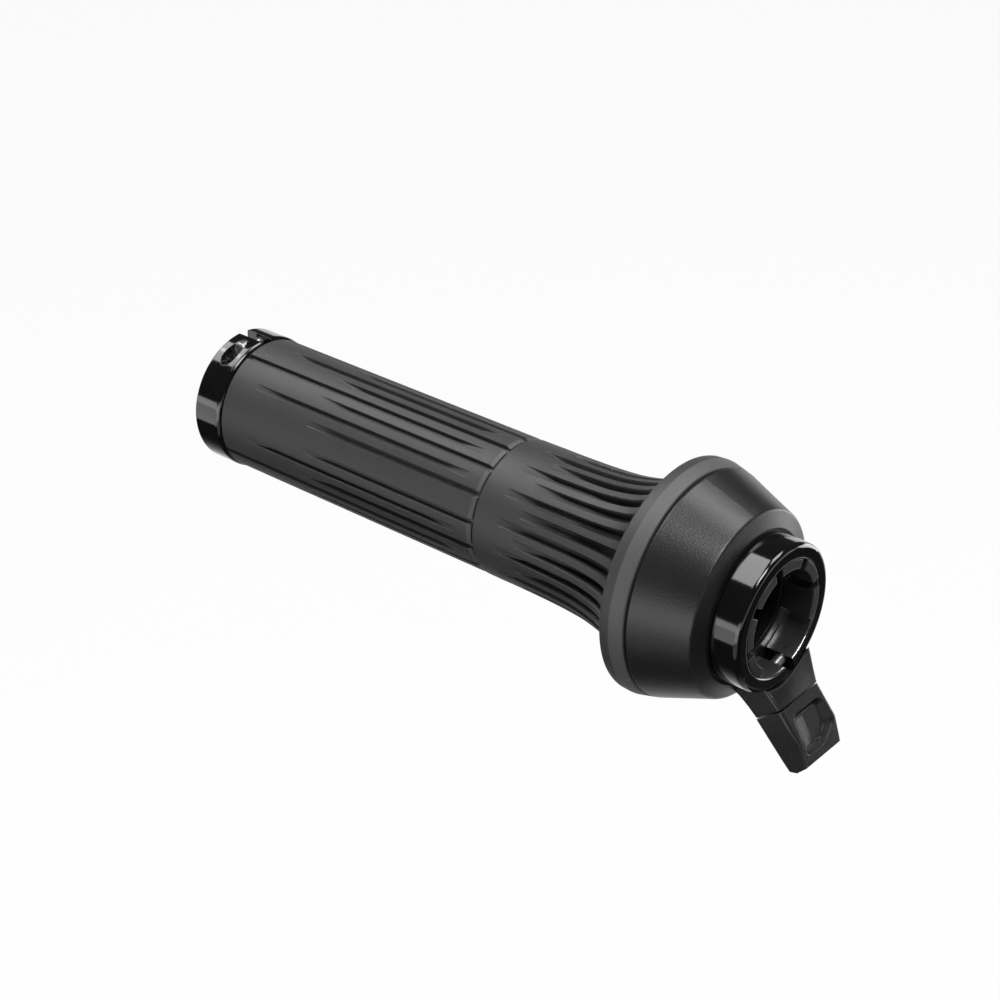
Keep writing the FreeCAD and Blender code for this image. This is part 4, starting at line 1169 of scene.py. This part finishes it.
@dataclass(frozen=True)
class CameraPlan:
    """The photograph's camera.

    Attributes:
        azimuth: Turn of the image's horizontal from +X, in degrees.
        elevation: Height angle of the camera, in degrees.
        centre: Place of the camera.
        lens: Focal length on the square sensor.
        sensor: Side of that sensor.
        clip: Nearest and furthest distance that shows, in metres.
    """

    azimuth: float = 39.84
    elevation: float = 30.22
    centre: Point3 = (211.894, -346.315, 262.699)
    lens: float = 82.8
    sensor: float = 36.0
    clip: Point2 = (0.01, 20.0)

    def build(self) -> bpy.types.Object:
        """Make the camera and give it to the scene.

        Returns:
            The camera.
        """
        turn = math.radians(self.azimuth)
        lift = math.radians(self.elevation)
        right = Vector((math.cos(turn), math.sin(turn), 0.0))
        level = math.cos(lift)
        back = Vector((math.sin(turn) * level, -math.cos(turn) * level, math.sin(lift)))
        data = bpy.data.cameras.new("photo_camera")
        data.lens = self.lens
        data.sensor_width = self.sensor
        data.clip_start, data.clip_end = self.clip
        item = bpy.data.objects.new("photo_camera", data)
        item.matrix_world = facing(right, back, self.centre)
        bpy.context.scene.collection.objects.link(item)
        bpy.context.scene.camera = item
        LOG.info("camera at %s", self.centre)
        return item


@dataclass(frozen=True)
class SoftBox:
    """One rectangular studio light that faces a point.

    Attributes:
        name: Light name.
        place: Its middle.
        along: Direction of its width.
        size: Width and height.
        level: Brightness of its face, where 1 is white.
        aim: Point that it faces.
    """

    name: str
    place: Point3
    along: Point3
    size: Point2
    level: float
    aim: Point3 = (-40.0, 0.0, 0.0)

    def build(self) -> bpy.types.Object:
        """Make the light, which the camera itself doesn't see.

        Returns:
            The light.
        """
        width, height = (side * MM for side in self.size)
        data = bpy.data.lights.new(self.name, "AREA")
        data.shape = "RECTANGLE"
        data.size = width
        data.size_y = height
        data.energy = self.level * math.pi * width * height
        item = bpy.data.objects.new(self.name, data)
        back = (Vector(self.place) - Vector(self.aim)).normalized()
        along = Vector(self.along)
        right = (along - back * along.dot(back)).normalized()
        item.matrix_world = facing(right, back, self.place)
        item.visible_camera = False
        bpy.context.scene.collection.objects.link(item)
        LOG.info("light %s, %.1f W", self.name, data.energy)
        return item


STUDIO_LIGHTS: Tuple[SoftBox, ...] = (
    SoftBox("overhead", (-404.0, -76.0, 800.0), (0.66, -0.75, 0.0), (650.0, 480.0), 4.2),
    SoftBox("key_front", (480.0, -150.0, 1010.0), (0.3, 0.95, 0.0), (520.0, 400.0), 12.0),
    SoftBox("key_back", (128.0, 518.0, 1069.0), (-0.95, 0.31, 0.0), (640.0, 500.0), 6.5),
    SoftBox("backdrop", (327.0, 1130.0, -150.0), (-0.95, 0.31, 0.0), (640.0, 500.0), 3.4),
    SoftBox("front_low", (180.0, -1130.0, -130.0), (0.98, 0.2, 0.0), (1000.0, 600.0), 1.6),
    SoftBox("left", (-959.0, 0.0, 771.0), (0.0, -1.0, 0.0), (640.0, 500.0), 4.2),
    SoftBox("right", (930.0, 705.0, 60.0), (-0.59, 0.81, 0.0), (640.0, 500.0), 0.6),
    SoftBox("low_left", (-310.0, -450.0, -110.0), (0.87, -0.49, 0.0), (500.0, 260.0), 1.35),
    SoftBox("low_front", (60.0, -430.0, -210.0), (1.0, 0.0, 0.0), (560.0, 320.0), 0.5),
)


@dataclass(frozen=True)
class Studio:
    """White floor, soft lights and a dim room.

    Attributes:
        floor_drop: Depth of the floor below the bar axis.
        floor_size: Side of the floor.
        mottle_mm: Size of the patches in its colour.
        pale: Linear greys of the floor that the camera sees.
        dim: Linear greys of the floor that lights the object.
        dark: Linear greys of the floor that gloss mirrors.
        white_share: Share of the floor that is plain white to the camera.
        mirrored_span: Places between which the floor that gloss shows turns white, along Y.
        mirrored_end: Places between which it ends again, along X.
        room: Brightness of the room.
        cove: Heights between which the white cove ends, as sines of their angles.
        lights: The lights.
    """

    floor_drop: float = 450.0
    floor_size: float = 6000.0
    mottle_mm: float = 60.0
    pale: Point2 = (0.86, 0.9)
    dim: Point2 = (0.24, 0.28)
    dark: Point2 = (0.02, 0.03)
    white_share: float = 0.95
    mirrored_span: Point2 = (-150.0, 350.0)
    mirrored_end: Point2 = (100.0, 350.0)
    room: float = 0.03
    cove: Point2 = (0.028, 0.052)
    lights: Tuple[SoftBox, ...] = STUDIO_LIGHTS

    def _floor(self) -> None:
        """Pale floor that keeps the object's shadow, with a dim front in reflections."""
        half = self.floor_size / 2 * MM
        low = -self.floor_drop * MM
        square = [(-half, -half, low), (half, -half, low), (half, half, low), (-half, half, low)]
        item = mesh_object("floor", square, [(0, 1, 2, 3)])
        graph = ShaderGraph.material("floor_look")
        straight, mirrored = graph.rays()
        mottle = graph.noise(self.mottle_mm)
        pale, dim, dark = (graph.greys(mottle, tones) for tones in (self.pale, self.dim, self.dark))
        colour = graph.blend(straight, graph.blend(mirrored, dim, dark), pale)
        back = graph.along("Y").step(*self.mirrored_span)
        left = 1.0 - graph.along("X").step(*self.mirrored_end)
        white = (straight + mirrored * back * left) * self.white_share
        diffuse = graph.node("ShaderNodeBsdfDiffuse", {}, {"Color": colour})
        glow = graph.node("ShaderNodeEmission", {}, {"Color": WHITE, "Strength": 1.0})
        shader = graph.between(white, diffuse, glow)
        item.data.materials.append(graph.close("ShaderNodeOutputMaterial", shader))

    def _room(self) -> None:
        """Dim room whose white cove stands a little above the horizon."""
        graph = ShaderGraph(bpy.data.worlds.new("room"))
        height = graph.part(graph.coordinates("Generated"), "Z")
        cove = 1.0 - height.step(*self.cove)
        straight, mirrored = graph.rays()
        dim, white = (
            graph.node("ShaderNodeBackground", {}, {"Color": WHITE, "Strength": strength})
            for strength in (self.room, 1.0)
        )
        shader = graph.between(straight + mirrored * cove, dim, white)
        bpy.context.scene.world = graph.close("ShaderNodeOutputWorld", shader)

    def build(self) -> None:
        """Make floor, room and lights."""
        self._floor()
        self._room()
        for light in self.lights:
            light.build()


@dataclass(frozen=True)
class Remote:
    """The whole remote with its studio.

    Attributes:
        finishes: The finish of every slot.
        carried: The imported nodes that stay.
        fixed: Plan of the fixed rubber.
        twist: Plan of the turning rubber.
        camera: Plan of the camera.
        studio: Floor, room and lights.
    """

    finishes: FinishSet = field(default_factory=FinishSet)
    carried: CarriedNodes = field(default_factory=CarriedNodes)
    fixed: FixedGripPlan = field(default_factory=FixedGripPlan)
    twist: TwistGripPlan = field(default_factory=TwistGripPlan)
    camera: CameraPlan = field(default_factory=CameraPlan)
    studio: Studio = field(default_factory=Studio)

    def build(self) -> None:
        """Build camera, studio and every piece."""
        self.camera.build()
        self.studio.build()
        palette = Palette(self.finishes)
        self.carried.build(palette)
        self.fixed.grip().build(palette)
        self.twist.grip().build(palette)


def main() -> None:
    """Build the scene."""
    scene = bpy.context.scene
    scene.view_settings.view_transform = "Standard"
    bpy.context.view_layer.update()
    Remote().build()


if __name__ == "__main__":
    main()
